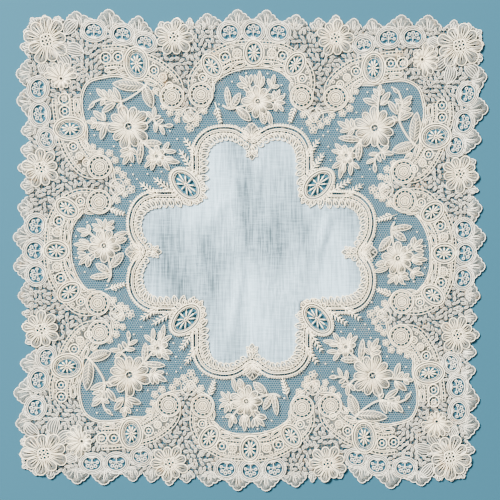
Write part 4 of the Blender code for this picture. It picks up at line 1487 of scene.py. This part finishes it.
SIDE_SPRAY_LEAVES = (
    (-18.7, 115.2, -20.3, 131.8, 4.6), (-16.4, 116, -9.2, 127, 5.4), (-12.4, 115.4, -1, 105.2, 6.4),
    (-3.6, 132.6, -11.8, 134, 4.4), (-2.9, 133.2, -10, 141, 3.2), (-2.4, 134.2, -4.6, 141.6, 2.6),
    (-1.6, 134.6, -0.5, 142.2, 2.6), (4.6, 131.8, 2.2, 142, 3), (6.2, 132.4, 6, 145, 3.2),
    (7.4, 132.2, 9.4, 140.6, 2.8), (15.6, 132.3, 12.7, 138.8, 2.8), (15.9, 132.6, 18, 142.2, 3.2),
    (16, 132, 21.6, 133.6, 2.8), (17, 121.8, 17.9, 129.4, 2.8), (19, 122.4, 21.9, 130.4, 2.8),
    (20, 121.4, 26.2, 125.6, 3), (18.2, 120.4, 26.6, 119.4, 3), (18.4, 119.6, 19.6, 112.6, 2.8),
    (20.6, 119, 25.2, 112.6, 2.8), (8, 111.6, 10.4, 102.6, 5), (13, 112.6, 15.8, 101.4, 3.4),
    (-6.6, 131.9, -1.4, 127.6, 2.6),
)
SPRAYS = (
    ("corner_spray_", CORNER_SPRAY_FLOWER, (CORNER_SPRAY_BLOSSOM,),
     CORNER_SPRAY_STEMS, CORNER_SPRAY_LEAVES),
    ("side_spray_", SIDE_SPRAY_FLOWER, (), SIDE_SPRAY_STEMS, SIDE_SPRAY_LEAVES),
)
print("leaves in a quarter:", sum(len(spray[4]) for spray in SPRAYS))

# %% [markdown]
# The flower's eye is an opening with a knot that hangs in it on four threads. The stems
# are two fine cords side by side, with cloth between them.

# %% The flower sprays
SPRAY_EYE = 0.185
SPRAY_TURN = 0.35
LARGE_LEAF = 4.5


def spray_strokes(flower, blossoms, stems, leaves, height):
    """The cords of a spray: an open flower with a knot in its eye, stems, buds and leaves."""
    x, y, radius, petals, notch = flower
    strokes = flower_head(x, y, radius, petals, notch, height,
                          start=SPRAY_TURN, heart=SPRAY_EYE, dome=0.55)
    eye = radius * SPRAY_EYE
    strokes.append(ring(x, y, eye, 0.40, height + 0.55, 14))
    strokes.append(ring(x, y, 0.42, 0.30, height + 0.3, 8))
    for a in (0.4, 2.0, 3.5, 5.1):
        strokes.append(stroke([(x, y), at_angle(x, y, eye, a)], 0.13, height + 0.2))
    for bx, by, b_radius, b_petals, b_notch in blossoms:
        strokes.extend(flower_head(bx, by, b_radius, b_petals, b_notch, height, dome=0.3))
    for stem in stems:
        line = smooth(stem, 1.8)
        for off in (0.42, -0.42):
            strokes.append(stroke(sideways(line, off), FINE_CORD, height))
    for x0, y0, x1, y1, width in leaves:
        veins = int(width * 0.9) if width > LARGE_LEAF else 0
        strokes.extend(leaf_strokes((x0, y0), (x1, y1), width, height, FINE_CORD + 0.03, veins))
    return strokes


def spray_shapes(flower, blossoms, stems, leaves):
    """The cloth outlines of a spray, and the hole in its flower's eye."""
    x, y, radius, petals, notch = flower
    shapes = petal_cloth(x, y, radius, petals, notch, SPRAY_TURN, SPRAY_EYE)
    for spec in blossoms:
        shapes.extend(petal_cloth(*spec))
    for stem in stems:
        line = smooth(stem, 3.0)
        shapes.append(np.concatenate([sideways(line, 0.5), sideways(line, -0.5)[::-1]]))
    shapes.extend(leaf_outline((x0, y0), (x1, y1), width) for x0, y0, x1, y1, width in leaves)
    return shapes, [circle(x, y, radius * SPRAY_EYE - 0.3, 14)]


for quarter, side in enumerate(QUARTERS):
    for stem_name, flower, blossoms, stems, leaves in SPRAYS:
        make_motif("lace_" + stem_name + side, stem_name + side,
                   spray_strokes(flower, blossoms, stems, leaves, RAISED_CORD),
                   *spray_shapes(flower, blossoms, stems, leaves), quarter)

# %% [markdown]
# A raised band hides the cut edge of the lawn. From outside in it has tiny picots, two
# cords, a row of holes, and ribs that fan over the lawn, with a star wheel in each inner
# corner, a palmette in each notch, and feathery twigs that run out over the net.

# %% Motifs of the band
# Root, tip and width of the palmette and the sprig of a notch.
BAND_PALMETTE = ((0.0, 88.0), (0.0, 103.4), 12.0)
BAND_SPRIG = ((0.0, 85.0), (0.0, 73.6), 5.4)
BAND_TWIGS = (
    (72, 42, 91.8, 54.9, 5.6), (61, 46, 82.2, 59, 5.6),
    (46, 61, 59.2, 80, 5.6), (42, 72, 55.2, 91.2, 5.6),
)
HANGING_TWIGS = ((-30.4, 119.6, -25.0, 102.0, 4.6), (36.0, 119.6, 30.0, 102.6, 4.6))
PICOT = 0.62


def crown_leaves():
    """Root, tip and width of the petals round the inner side of a band wheel."""
    x, y, half_length, half_width, turn = LAWN_OVAL
    t = math.radians(turn)
    leaves = []
    for k in range(11):
        a = math.radians(84.0 + 19.2 * k)
        ends = []
        for grow in (1.9, 6.3):
            along, across = (half_length + grow) * math.cos(a), (half_width + grow) * math.sin(a)
            ends.append((x + along * math.cos(t) - across * math.sin(t),
                         y + along * math.sin(t) + across * math.cos(t)))
        leaves.append((ends[0], ends[1], 3.7))
    return leaves


def twig_strokes(root, tip, width, height, pairs=5):
    """A feathery twig: a stem with pairs of small leaflets."""
    root, tip = np.asarray(root, float), np.asarray(tip, float)
    along = tip - root
    length = np.linalg.norm(along)
    side = np.array([-along[1], along[0]]) / length
    strokes = [stroke([root, root + along * 0.5 + side * 0.3, tip], 0.40, height)]
    for k in range(pairs):
        t = 0.26 + 0.68 * k / pairs
        reach = width * 0.78 * (1 - 0.4 * k / pairs)
        for way in (-1, 1):
            foot = root + along * t
            end = foot + along / length * reach * 0.75 + side * way * reach * 0.75
            strokes.append(stroke([foot, (foot + end) / 2, end], [0.30, 0.62, 0.34], height))
    return strokes


def quarter_of_band(height):
    """The star wheel, crown, palmette, sprig and twigs of one quarter of the band."""
    strokes = star_wheel(LAWN_OVAL, height)
    around = ellipse(*LAWN_OVAL, count=40, grow=2.9)
    for x, y in around:
        if x + y > 2 * LAWN_OVAL[0]:
            strokes.append(ring(x, y, PICOT, 0.30, height, 6))
    for root, tip, width in crown_leaves():
        strokes.extend(leaf_strokes(root, tip, width, height, 0.36))
    strokes.extend(leaf_strokes(*BAND_PALMETTE, height, FINE_CORD, 4))
    for turn in (-1, 1):
        strokes.extend(leaf_strokes((0.0, 91.0), (7.4 * turn, 99.5), 4.6, height + 0.1, FINE_CORD, 2))
        strokes.extend(leaf_strokes((0.0, 89.6), (8.2 * turn, 94.6), 3.4, height + 0.1, FINE_CORD))
    strokes.extend(leaf_strokes(*BAND_SPRIG, height, FINE_CORD))
    for turn in (-1, 1):
        strokes.extend(leaf_strokes((0.0, 81.0), (4.6 * turn, 76.4), 2.8, height, 0.34))
        strokes.append(ring(3.4 * turn, 80.6, 1.0, 0.34, height, 8))
    for x0, y0, x1, y1, width in BAND_TWIGS + HANGING_TWIGS:
        strokes.extend(twig_strokes((x0, y0), (x1, y1), width, height))
    return strokes


print("strokes in a quarter of the band:", len(quarter_of_band(RAISED_CORD)))

# %% [markdown]
# The cords that run all the way round are drawn on the whole outline, so they have no
# seams, and are cut back at the wheels. The motifs are drawn once and turned.

# %% The band round the lawn
def turned_strokes(strokes, quarter):
    """Copies of strokes, turned to another quarter."""
    return [dict(s, points=turn_quarters(s["points"], quarter)) for s in strokes]


def band_strokes(height):
    """The cords that run all the way round the band, and its four quarters of motifs."""
    outer, inner = ring_round(BAND_OUTER, 1.6), ring_round(BAND_INNER, 1.6)
    strokes = [stroke(outer, THICK_CORD, height + 0.1, True),
               stroke(sideways(outer, -2.5, True), THICK_CORD, height + 0.1, True)]
    at, way = spaced(outer, 2.1, True)
    for point, out in zip(at, left_of(way)):
        strokes.append(ring(*(point + out), PICOT, 0.30, height - 0.1, 6))
    strokes.extend(ladder(sideways(outer, -4.6, True), 0.9, -0.9, height, RAIL_PITCH, True))
    at, way = spaced(sideways(outer, -5.7, True), 5.2, True)
    reach = np.array([np.hypot(*(inner - point).T).min() for point in at])
    for point, along, out, depth in zip(at, way, left_of(way), reach):
        tip = point - out * (depth + 2.6) + along * 2.8
        strokes.extend(leaf_strokes(point + out * 0.2, tip, 4.4, height + 0.05, 0.36, 2))
    ovals = [tuple(turn_quarters([LAWN_OVAL[:2]], q)[0]) + (*LAWN_OVAL[2:4], LAWN_OVAL[4] - 90.0 * q)
             for q in range(4)]
    strokes = clear_of_ovals(strokes, ovals, 2.0)
    for quarter in range(4):
        strokes.extend(turned_strokes(quarter_of_band(height), quarter))
    return strokes


def make_band():
    """The whole band: its cloth, the cloth of its leaves, its cords and its warm knots."""
    outer = ring_round(BAND_OUTER, 2.0)
    inner = ring_round(BAND_INNER[:-2] + ((39.0, 50.0), (44.0, 44.0)), 3.0)
    leaves = [leaf_outline(*leaf) for leaf in (BAND_PALMETTE, BAND_SPRIG, *crown_leaves())]
    quarter_shapes = [ellipse(*LAWN_OVAL, count=24, grow=2.2)] + leaves
    wheel_hole = ellipse(*LAWN_OVAL, count=24, grow=0.1)
    shapes = [turn_quarters(shape, quarter) for quarter in range(4) for shape in quarter_shapes]
    holes = [turn_quarters(wheel_hole, quarter) for quarter in range(4)]
    slots = slots_along(outer, -0.5, -2.0, True, 14.0, 1.2)
    slots += slots_along(sideways(outer, -4.6, True), 0.7, -0.7, True, 14.0, 1.2)
    ring_cloth = cut_cloth([outer], [inner] + holes + slots, RAISED_CLOTH)
    extras = cut_cloth(shapes, holes, (RAISED_CLOTH[0] - 0.05, RAISED_CLOTH[1] - 0.05))
    hubs = [knot for quarter in range(4)
            for knot in turned_strokes(star_hub(LAWN_OVAL, RAISED_CORD), quarter)]
    blocks = [(*ring_cloth, 0), (*extras, 0), (*spin(band_strokes(RAISED_CORD)), 1), (*spin(hubs), 2)]
    piece = weave_mesh("lace_lawn_band", blocks, [TOILE_WITH_PAINTED_SHADE, CORD, WARM])
    dress(piece, ["lawn_band"])


make_band()

# %% [markdown]
# The close border fills everything from the net out to the scallops. Each scallop is a
# small leaf whose rim climbs to its point in steps, with fine ribs that spread from its
# foot on both sides of a slit. The rim is the plain edge of the solids, pushed in and out.

# %% Scallops
RIM_STEP = 0.7
RIM_CORD = 0.34
RIM_HEIGHT = 0.58
RIM_DIP = 1.3
BUMP_RISE = 1.7
BUMP_FOOT = 0.6
POINT_RISE = 1.5
WIDE_RIBS = 14


def scallop_rim(start, tip, end):
    """The stepped rim of a scallop: low bumps that climb from both valleys to a point."""
    corners = np.array(scallop_corners(tuple(start), tuple(tip), tuple(end)) + [tuple(end)])
    rim = smooth(corners, RIM_STEP)
    run = np.linspace(0, 1, len(rim))
    at_tip = run[np.argmin(np.hypot(rim[:, 0] - tip[0], rim[:, 1] - tip[1]))]
    climb = np.where(run < at_tip, run / at_tip, (1 - run) / (1 - at_tip))
    steps = 3 if math.dist(start, end) > WIDE_SCALLOP else 2
    bumps = np.abs(np.sin(math.pi * steps * climb)) ** 0.7
    push = (climb ** 0.4 * (BUMP_RISE * bumps - BUMP_FOOT) - RIM_DIP * (1 - climb) ** 2
            - RIM_DIP * np.sin(math.pi * climb))
    return sideways(rim, push + POINT_RISE * np.exp(-((1 - climb) / 0.09) ** 2))


def scallop_slit(start, tip, end):
    """The narrow opening in the middle of a scallop."""
    start, tip, end = (np.asarray(p, float) for p in (start, tip, end))
    foot = (start + end) / 2 + (tip - (start + end) / 2) * 0.10
    return leaf_outline(foot, foot + (tip - foot) * 0.50, 0.95)


def rimmed_edge():
    """The outline of the whole cloth with its stepped rims."""
    return all_quarters(np.concatenate([scallop_rim(*row)[:-1] for row in edge_rows()]))


def scallop_strokes(start, tip, end, height):
    """One scallop: its stepped cord, a slit between two ribs, and fine ribs that spread."""
    rim = scallop_rim(start, tip, end)
    start, tip, end = (np.asarray(p, float) for p in (start, tip, end))
    middle = (start + end) / 2
    width = np.linalg.norm(end - start)
    along = (end - start) / width
    out = np.array([-along[1], along[0]])
    ribs = 6 if width > WIDE_RIBS else 4
    strokes = [stroke(rim, RIM_CORD, RIM_HEIGHT)]
    root = middle - out * (6.0 if width > WIDE_RIBS else 4.2)
    for way in (-1, 1):
        side = along * way
        slit = [root + side * 0.4, middle + side * 0.85, middle + (tip - middle) * 0.38 + side * 0.75,
                middle + (tip - middle) * 0.80 + side * 0.1]
        strokes.append(stroke(slit, [0.22, 0.30, 0.30, 0.22], height + 0.06))
    for rib in range(ribs):
        share = (rib + 0.5) / ribs
        target = rim[int((len(rim) - 1) * share)]
        foot = root + along * (share - 0.5) * 5.0 + out * 0.6
        mid = foot + (target - foot) * 0.5 + out * 0.7
        strokes.append(stroke([foot, mid, foot + (target - foot) * 0.86], [0.18, 0.27, 0.18], height))
    foot_corners = [end + (root - end) * 0.3, root, start + (root - start) * 0.3]
    return strokes, np.concatenate([rim, foot_corners])


print("corners of the whole stepped edge:", len(rimmed_edge()))

# %% [markdown]
# Under the scallops stand the half-moon cells: openings with three horseshoe cords round
# them, and in each a little tree of rings on a fan of small petals.

# %% Half-moon cells
# Centre, half width, half height, and the way they stand in degrees.
CELLS = (
    (-18, 175.2, 7, 6.4, 8), (1, 176.8, 7, 6.4, 0), (21.2, 175.7, 7.2, 6.4, -8),
    (90, 166.4, 6.4, 5.2, 10), (109.5, 171.5, 7.4, 6, 2), (129.2, 172.3, 7.4, 6, -2),
    (175, 126.9, 7.4, 6, -92), (173, 104, 7.4, 6, -96), (166.9, 85.8, 7, 5.6, -104),
)
# The rings of a cell's tree: share of the half width, of the half height, and radius.
CELL_TREE = ((-0.60, -0.18, 0.95), (-0.42, 0.36, 1.15), (0.0, 0.56, 1.2), (0.42, 0.36, 1.15),
             (0.60, -0.18, 0.95))


def cell_strokes(spec, height):
    """A half-moon cell: two horseshoe cords and a little tree of rings."""
    x, y, half_width, half_height, turn = spec
    a = math.radians(turn)
    across = np.array([math.cos(a), math.sin(a)])
    up = np.array([-math.sin(a), math.cos(a)])
    centre = np.array([x, y])
    strokes = [stroke(ellipse(*spec, count=20, grow=0.1), 0.34, height + 0.12, True),
               stroke(ellipse(*spec, count=22, grow=1.5), 0.30, height + 0.06, True),
               stroke(ellipse(*spec, count=22, grow=2.8), 0.34, height + 0.04, True)]
    foot = centre - up * half_height
    heart = centre - up * half_height * 0.2
    strokes.append(stroke([foot, heart, centre + up * half_height * 0.30], [0.5, 0.34, 0.28], height))
    for wx, wy, size in CELL_TREE:
        tip = centre + across * wx * half_width + up * wy * half_height
        strokes.append(ring(*tip, size, 0.34, height, 8))
        if wx:
            branch = [heart, (heart + tip) / 2 + up * 0.3, tip - (tip - heart) * 0.25]
            strokes.append(stroke(branch, 0.26, height))
    for k in range(5):
        a = math.radians(28.0 + 31.0 * k)
        end = foot + (across * math.cos(a) + up * math.sin(a) * 0.75) * half_width * 0.50
        strokes.append(stroke([foot, (foot + end) / 2, end], [0.24, 0.44, 0.26], height + 0.02))
    return strokes


def between_cells():
    """The small three-cornered gaps at the feet of neighbouring cells."""
    gaps = []
    for one, other in zip(CELLS, CELLS[1:]):
        if math.dist(one[:2], other[:2]) < 22.0:
            a = math.radians((one[4] + other[4]) / 2)
            up = np.array([-math.sin(a), math.cos(a)])
            middle = np.array([(one[0] + other[0]) / 2, (one[1] + other[1]) / 2]) - up * (one[3] + 0.4)
            gaps.append(circle(*middle, 1.5, 3, math.radians(one[4] + 90)))
    return gaps


print("cells in a quarter:", len(CELLS), "and small gaps between them:", len(between_cells()))

# %% [markdown]
# Large striped petals spread behind the corner flower, tiny blossoms line the net's edge,
# and the net itself is sown with dots. The tables give their places.

# %% Petals, blossoms and dots
# Root, tip and width of the petals behind the corner flower.
CORNER_PETALS = (
    (158, 157, 143.6, 147.6, 10), (161, 151, 157.6, 134.6, 10), (172, 150, 182.6, 139.6, 10),
    (150.4, 166, 141.6, 170.6, 8),
)
PETAL_BEND = 0.10
# Tiny blossoms along the net: centre and radius.
GARLAND = (
    (50, 98.4, 2.7), (61.4, 105.1, 2.3), (65.1, 109.6, 2.1), (41.8, 110, 2.1), (46.4, 103.6, 2),
    (56.2, 101.6, 2), (80.4, 122.4, 2), (79, 115.4, 2.2), (73.4, 111.4, 2.2), (83.8, 128.6, 1.9),
    (116.2, 71, 2.2), (111, 66.4, 2.2), (110.4, 59.4, 2.2), (99.6, 50.4, 2.7), (105.6, 60.6, 1.9),
    (107.2, 43.6, 2.2), (112.8, 38.8, 2), (103, 45.6, 2), (128.4, 78.6, 1.9),
)
NET_SPOTS = (
    (69.6, 98.6), (58.2, 93.7), (62.2, 84.9), (64.2, 73.4), (40.4, 99), (-4.5, 143.5), (12.5, 142.9),
    (-16, 136.2), (23.6, 134.1), (-21.8, 125.3), (26, 126.8), (93.4, 127.8), (113.6, 132.1),
    (125.8, 130.6), (84.6, 112), (90.6, 60.4), (130, 66), (128.6, 96), (96.8, 66.4), (30.2, 110.4),
    (-30.6, 110.6), (-13, 101), (72, 66), (112, 92), (-27, 118), (62, 97),
)
PENDANTS = (
    (53, 115.4, 50.8, 103.6, 13), (108.6, 55.2, 104.6, 50.6, 6), (115.6, 49.4, 104.8, 50.4, 13),
)


def striped_petal(root, tip, width, height):
    """A large petal behind the corner flower, with stripes that follow its curve."""
    outline = smooth(leaf_outline(root, tip, width, PETAL_BEND), 2.6, True)
    strokes = [stroke(outline, FINE_CORD + 0.05, height + 0.1, True)]
    for share in (-0.62, -0.24, 0.16, 0.56):
        stripe = leaf_outline(root, tip, width * abs(share), PETAL_BEND)
        half = stripe[1:7] if share > 0 else stripe[7:]
        strokes.append(stroke(half, 0.28, height + 0.06))
    return strokes


print("blossoms in a quarter:", len(GARLAND), "and dots on the net:", len(NET_SPOTS))

# %% [markdown]
# All the room that is left is packed with small petals. They start as a regular pattern
# of places, each nudged a little, and places that a motif has taken drop out. The way a
# petal faces drifts across the cloth, so they look grown and not printed. The real ones
# are less even, but as close.

# %% The filling
FILL_PITCH = 4.1
FILL_PETAL = 2.35
FILL_CORD = 0.265
PETAL_SHAPE = ((-0.70, 0.0), (-0.25, 0.62), (0.35, 0.86), (0.85, 0.42), (1.15, 0.0), (0.85, -0.42),
               (0.35, -0.86), (-0.25, -0.62))


def scale_petal(x, y, angle, reach):
    """A small leaf-like petal, narrow at its foot."""
    c, s = math.cos(angle), math.sin(angle)
    return np.array([(x + reach * (u * c - v * 0.46 * s), y + reach * (u * s + v * 0.46 * c))
                     for u, v in PETAL_SHAPE])


def taken_room():
    """Outlines that the filling keeps clear of."""
    room = [ellipse(*spec, count=16, grow=2.2) for spec in CELLS]
    room.extend(band_outline(line, half + 0.6) for _, line, half, _, _, _ in ARCHES)
    for _, _, _, _, _, bulbs in ARCHES:
        room.extend(circle(x, y, BULB_RADIUS + 0.6, 16) for x, y in bulbs)
    for x, y, radius, _, _ in (CORNER_FLOWER,) + SIDE_ROSES:
        room.append(circle(x, y, radius * 0.94, 20))
    room.append(circle(*FAN_ROSE[:2], FAN_ROSE[2] * 0.66, 16))
    for start, tip, end in edge_rows():
        corners = np.array(scallop_corners(start, tip, end) + [end])
        middle = corners.mean(axis=0)
        room.append(middle + (corners - middle) * 1.15)
    for x0, y0, x1, y1, width in CORNER_PETALS:
        room.append(leaf_outline((x0, y0), (x1, y1), width + 1.2, PETAL_BEND))
    return room


def filling_petals(height):
    """Small petals packed into the room that the motifs leave: strokes, outlines and gaps."""
    spots = []
    for row, y in enumerate(np.arange(-20.0, LAY_REACH, FILL_PITCH * 0.866)):
        for x in np.arange(-95.0, LAY_REACH, FILL_PITCH):
            spots.append((x + (row % 2) * FILL_PITCH / 2, y))
    spots = np.array(spots) + RNG.normal(0, 0.45, (len(spots), 2))
    angle = np.degrees(np.arctan2(spots[:, 0], spots[:, 1]))
    wedge = (angle > -30.0) & (angle <= 60.0)
    shown = wedge & inside(spots, whole_edge())
    shown &= ~inside(spots, sideways(net_outline, 1.4, True))
    for q in (0, 1, 3):
        for outline in taken_room():
            shown &= ~inside(spots, turn_quarters(outline, q))
    strokes, outlines, gaps = [], [], []
    for number, (x, y) in enumerate(spots[shown]):
        drift = 2.4 * math.sin(x / 15.0 + 0.6 * math.sin(y / 9.0)) + 2.0 * math.cos(y / 13.0)
        facing = drift + RNG.normal(0, 0.6)
        outline = scale_petal(x, y, facing, FILL_PETAL)
        outlines.append(outline)
        strokes.append(stroke(outline, FILL_CORD, height + 0.1 * (number % 3), True))
        way = np.array([math.cos(facing), math.sin(facing)])
        strokes.append(stroke([(x, y) - way * 1.0, (x, y) + way * 1.3], 0.22, height + 0.14))
        if number % 3:
            gaps.append(circle(x + FILL_PITCH / 2, y + FILL_PITCH * 0.29, 1.0, 4, facing))
    print("small petals in a quarter:", int(shown.sum()))
    return strokes, outlines, gaps


print("outlines that the filling keeps clear of:", len(taken_room()))

# %% [markdown]
# The ground cloth of the border is cut in one piece, with every opening of the four
# quarters. The cords are four pieces, one for each side, so none of them is too large.

# %% The border
PATCH_CLOTH = (0.60, 0.74)
CELL_CLOTH = (0.66, 0.80)


def border_strokes(height):
    """All cords of one quarter of the border, and the small cloth patches in them."""
    strokes, bright, patches, rims = [], [], [], []
    for start, tip, end in edge_rows():
        ribs, outline = scallop_strokes(start, tip, end, height)
        strokes.extend(ribs)
        rims.append(outline)
    for spec in CELLS:
        strokes.extend(cell_strokes(spec, height))
    net_line = smooth(np.array(NET_EDGE + ((147.5, -0.8),)), 1.6)
    bright.append(stroke(net_line, THICK_CORD * 0.9, height))
    bright.append(stroke(sideways(net_line, 1.5), 0.30, height))
    for x, y, radius in GARLAND:
        bright.extend(blossom(x, y, radius, height + 0.1))
    for x, y in NET_SPOTS:
        bright.append(ring(x, y, 0.34, 0.34, NET_HEIGHT + 0.2, 6))
    for x0, y0, x1, y1, width in PENDANTS:
        bright.extend(leaf_strokes((x0, y0), (x1, y1), width, height + 0.1, FINE_CORD, 4))
    for x0, y0, x1, y1, width in CORNER_PETALS:
        strokes.extend(striped_petal((x0, y0), (x1, y1), width, height))
        patches.append(smooth(leaf_outline((x0, y0), (x1, y1), width, PETAL_BEND), 2.6, True))
    small, outlines, gaps = filling_petals(height)
    return strokes + small, bright, patches + outlines, rims, gaps


def border_holes(slits, gaps):
    """All openings of the border's ground cloth, for the four quarters."""
    shared = slits + gaps + between_cells()
    hearts = [spot for x, y, _, _, _ in (CORNER_FLOWER,) + SIDE_ROSES for spot in heart_spots(x, y)]
    holes = [sideways(net_outline, 0.0, True)]
    for quarter in range(4):
        quarter_holes = []
        for _, line, half, ovals, rings, bulbs in ARCHES:
            quarter_holes.extend(ellipse(*spec, count=18, grow=0.4) for spec in ovals)
            quarter_holes.extend(circle(x, y, r * (RING_ROOM + 0.06), 10)
                                 for x, y, r, is_open in rings if is_open)
            quarter_holes.extend(arch_slots(line, half, bulbs, ovals))
        quarter_holes.extend(ellipse(*spec, count=18) for spec in CELLS)
        quarter_holes.extend(shared)
        quarter_holes.extend(circle(x, y, HEART_HOLE, 6) for x, y in hearts)
        holes.extend(turn_quarters(hole, quarter) for hole in quarter_holes)
    return holes


def make_border():
    """The ground cloth of the whole border, and its cords in four pieces."""
    strokes, bright, patches, rims, gaps = border_strokes(GROUND_CORD)
    slits = [scallop_slit(*row) for row in edge_rows()]
    cloth = cut_cloth([rimmed_edge()], border_holes(slits, gaps), GROUND_CLOTH)
    piece = weave_mesh("border_cloth", [(*cloth, 0)], [GROUND_WITH_PAINTED_SHADE])
    dress(piece, ["lace_border"])
    cords = []
    cell_rims = [ellipse(*spec, count=20, grow=1.5) for spec in CELLS]
    cell_holes = [ellipse(*spec, count=20) for spec in CELLS]
    for quarter, side in enumerate(QUARTERS):
        blocks = [(*spin(strokes, quarter), 0), (*spin(bright, quarter), 3),
                  (*cloth_patches(patches, PATCH_CLOTH, quarter), 1),
                  (*cut_cloth(rims, slits, PATCH_CLOTH, quarter), 2),
                  (*cut_cloth(cell_rims, cell_holes, CELL_CLOTH, quarter), 1)]
        cord_piece = weave_mesh("border_cords_" + side, blocks, [BORDER_CORD, TOILE_WITH_PAINTED_SHADE, SCALLOP_TOILE_WITH_PAINTED_SHADE, CORD])
        dress(cord_piece, [])
        cords.append(cord_piece)
    return piece, cords


border_cloth, border_cords = make_border()

# %% [markdown]

# %% [markdown]
# The cloth lies on a plain pale table. One soft light stands to the upper left, low
# enough for the cords to throw small shadows, and a fill light keeps the far side bright.
# Both stand well away, so the table is evenly lit.

# %% Table and light
TABLE_SIZE = 14.0
TABLE_BLUE = (0.0145, 0.069, 0.1035, 1.0)
ROOM_LIGHT = 0.34


def make_table():
    """A wide plain table just under the cloth."""
    bpy.ops.object.select_all(action="DESELECT")
    bpy.ops.mesh.primitive_plane_add(size=TABLE_SIZE, location=(0, 0, -0.0002))
    table = bpy.context.object
    table.name = "table_top"
    material, _, shader = principled("Pale table", 0.0)
    shader.inputs["Base Color"].default_value = TABLE_BLUE
    shader.inputs["Roughness"].default_value = 0.9
    table.data.materials.append(material)


def soft_light(name, place, size, power, colour):
    """A square light of a size in metres and a power in watts, aimed at the cloth."""
    data = bpy.data.lights.new(name, "AREA")
    data.size = size
    data.energy = power
    data.color = colour
    lamp = bpy.data.objects.new(name, data)
    lamp.location = place
    lamp.rotation_euler = (-Vector(place)).to_track_quat("-Z", "Y").to_euler()
    bpy.context.collection.objects.link(lamp)


make_table()
soft_light("Window light", (-2.1, 2.1, 1.88), 0.80, 1150.0, (1.0, 0.985, 0.95))
soft_light("Fill light", (2.0, -1.6, 2.6), 2.4, 60.0, (0.95, 0.98, 1.0))
world = bpy.context.scene.world or bpy.data.worlds.new("Soft room")
bpy.context.scene.world = world
world.use_nodes = True
world.node_tree.nodes["Background"].inputs["Color"].default_value = (0.93, 0.96, 1.0, 1.0)
world.node_tree.nodes["Background"].inputs["Strength"].default_value = ROOM_LIGHT

# %% [markdown]
# The camera looks straight down, as in the photograph, from so high that a long lens
# takes in just the cloth and a narrow margin.

# %% The camera
PHOTO_WIDTH = 0.400
PHOTO_SHIFT = (-1.6, 1.6)
camera_data = bpy.data.cameras.new("Overhead camera")
camera_data.lens = 90.0
camera_data.sensor_width = 36.0
camera = bpy.data.objects.new("Overhead camera", camera_data)
distance = PHOTO_WIDTH * camera_data.lens / camera_data.sensor_width
camera.location = ((PHOTO_SHIFT[0] - ORIGIN[0]) * MM, (PHOTO_SHIFT[1] - ORIGIN[1]) * MM, distance)
bpy.context.collection.objects.link(camera)
bpy.context.scene.camera = camera
print("camera stands", round(distance, 3), "m above the cloth")
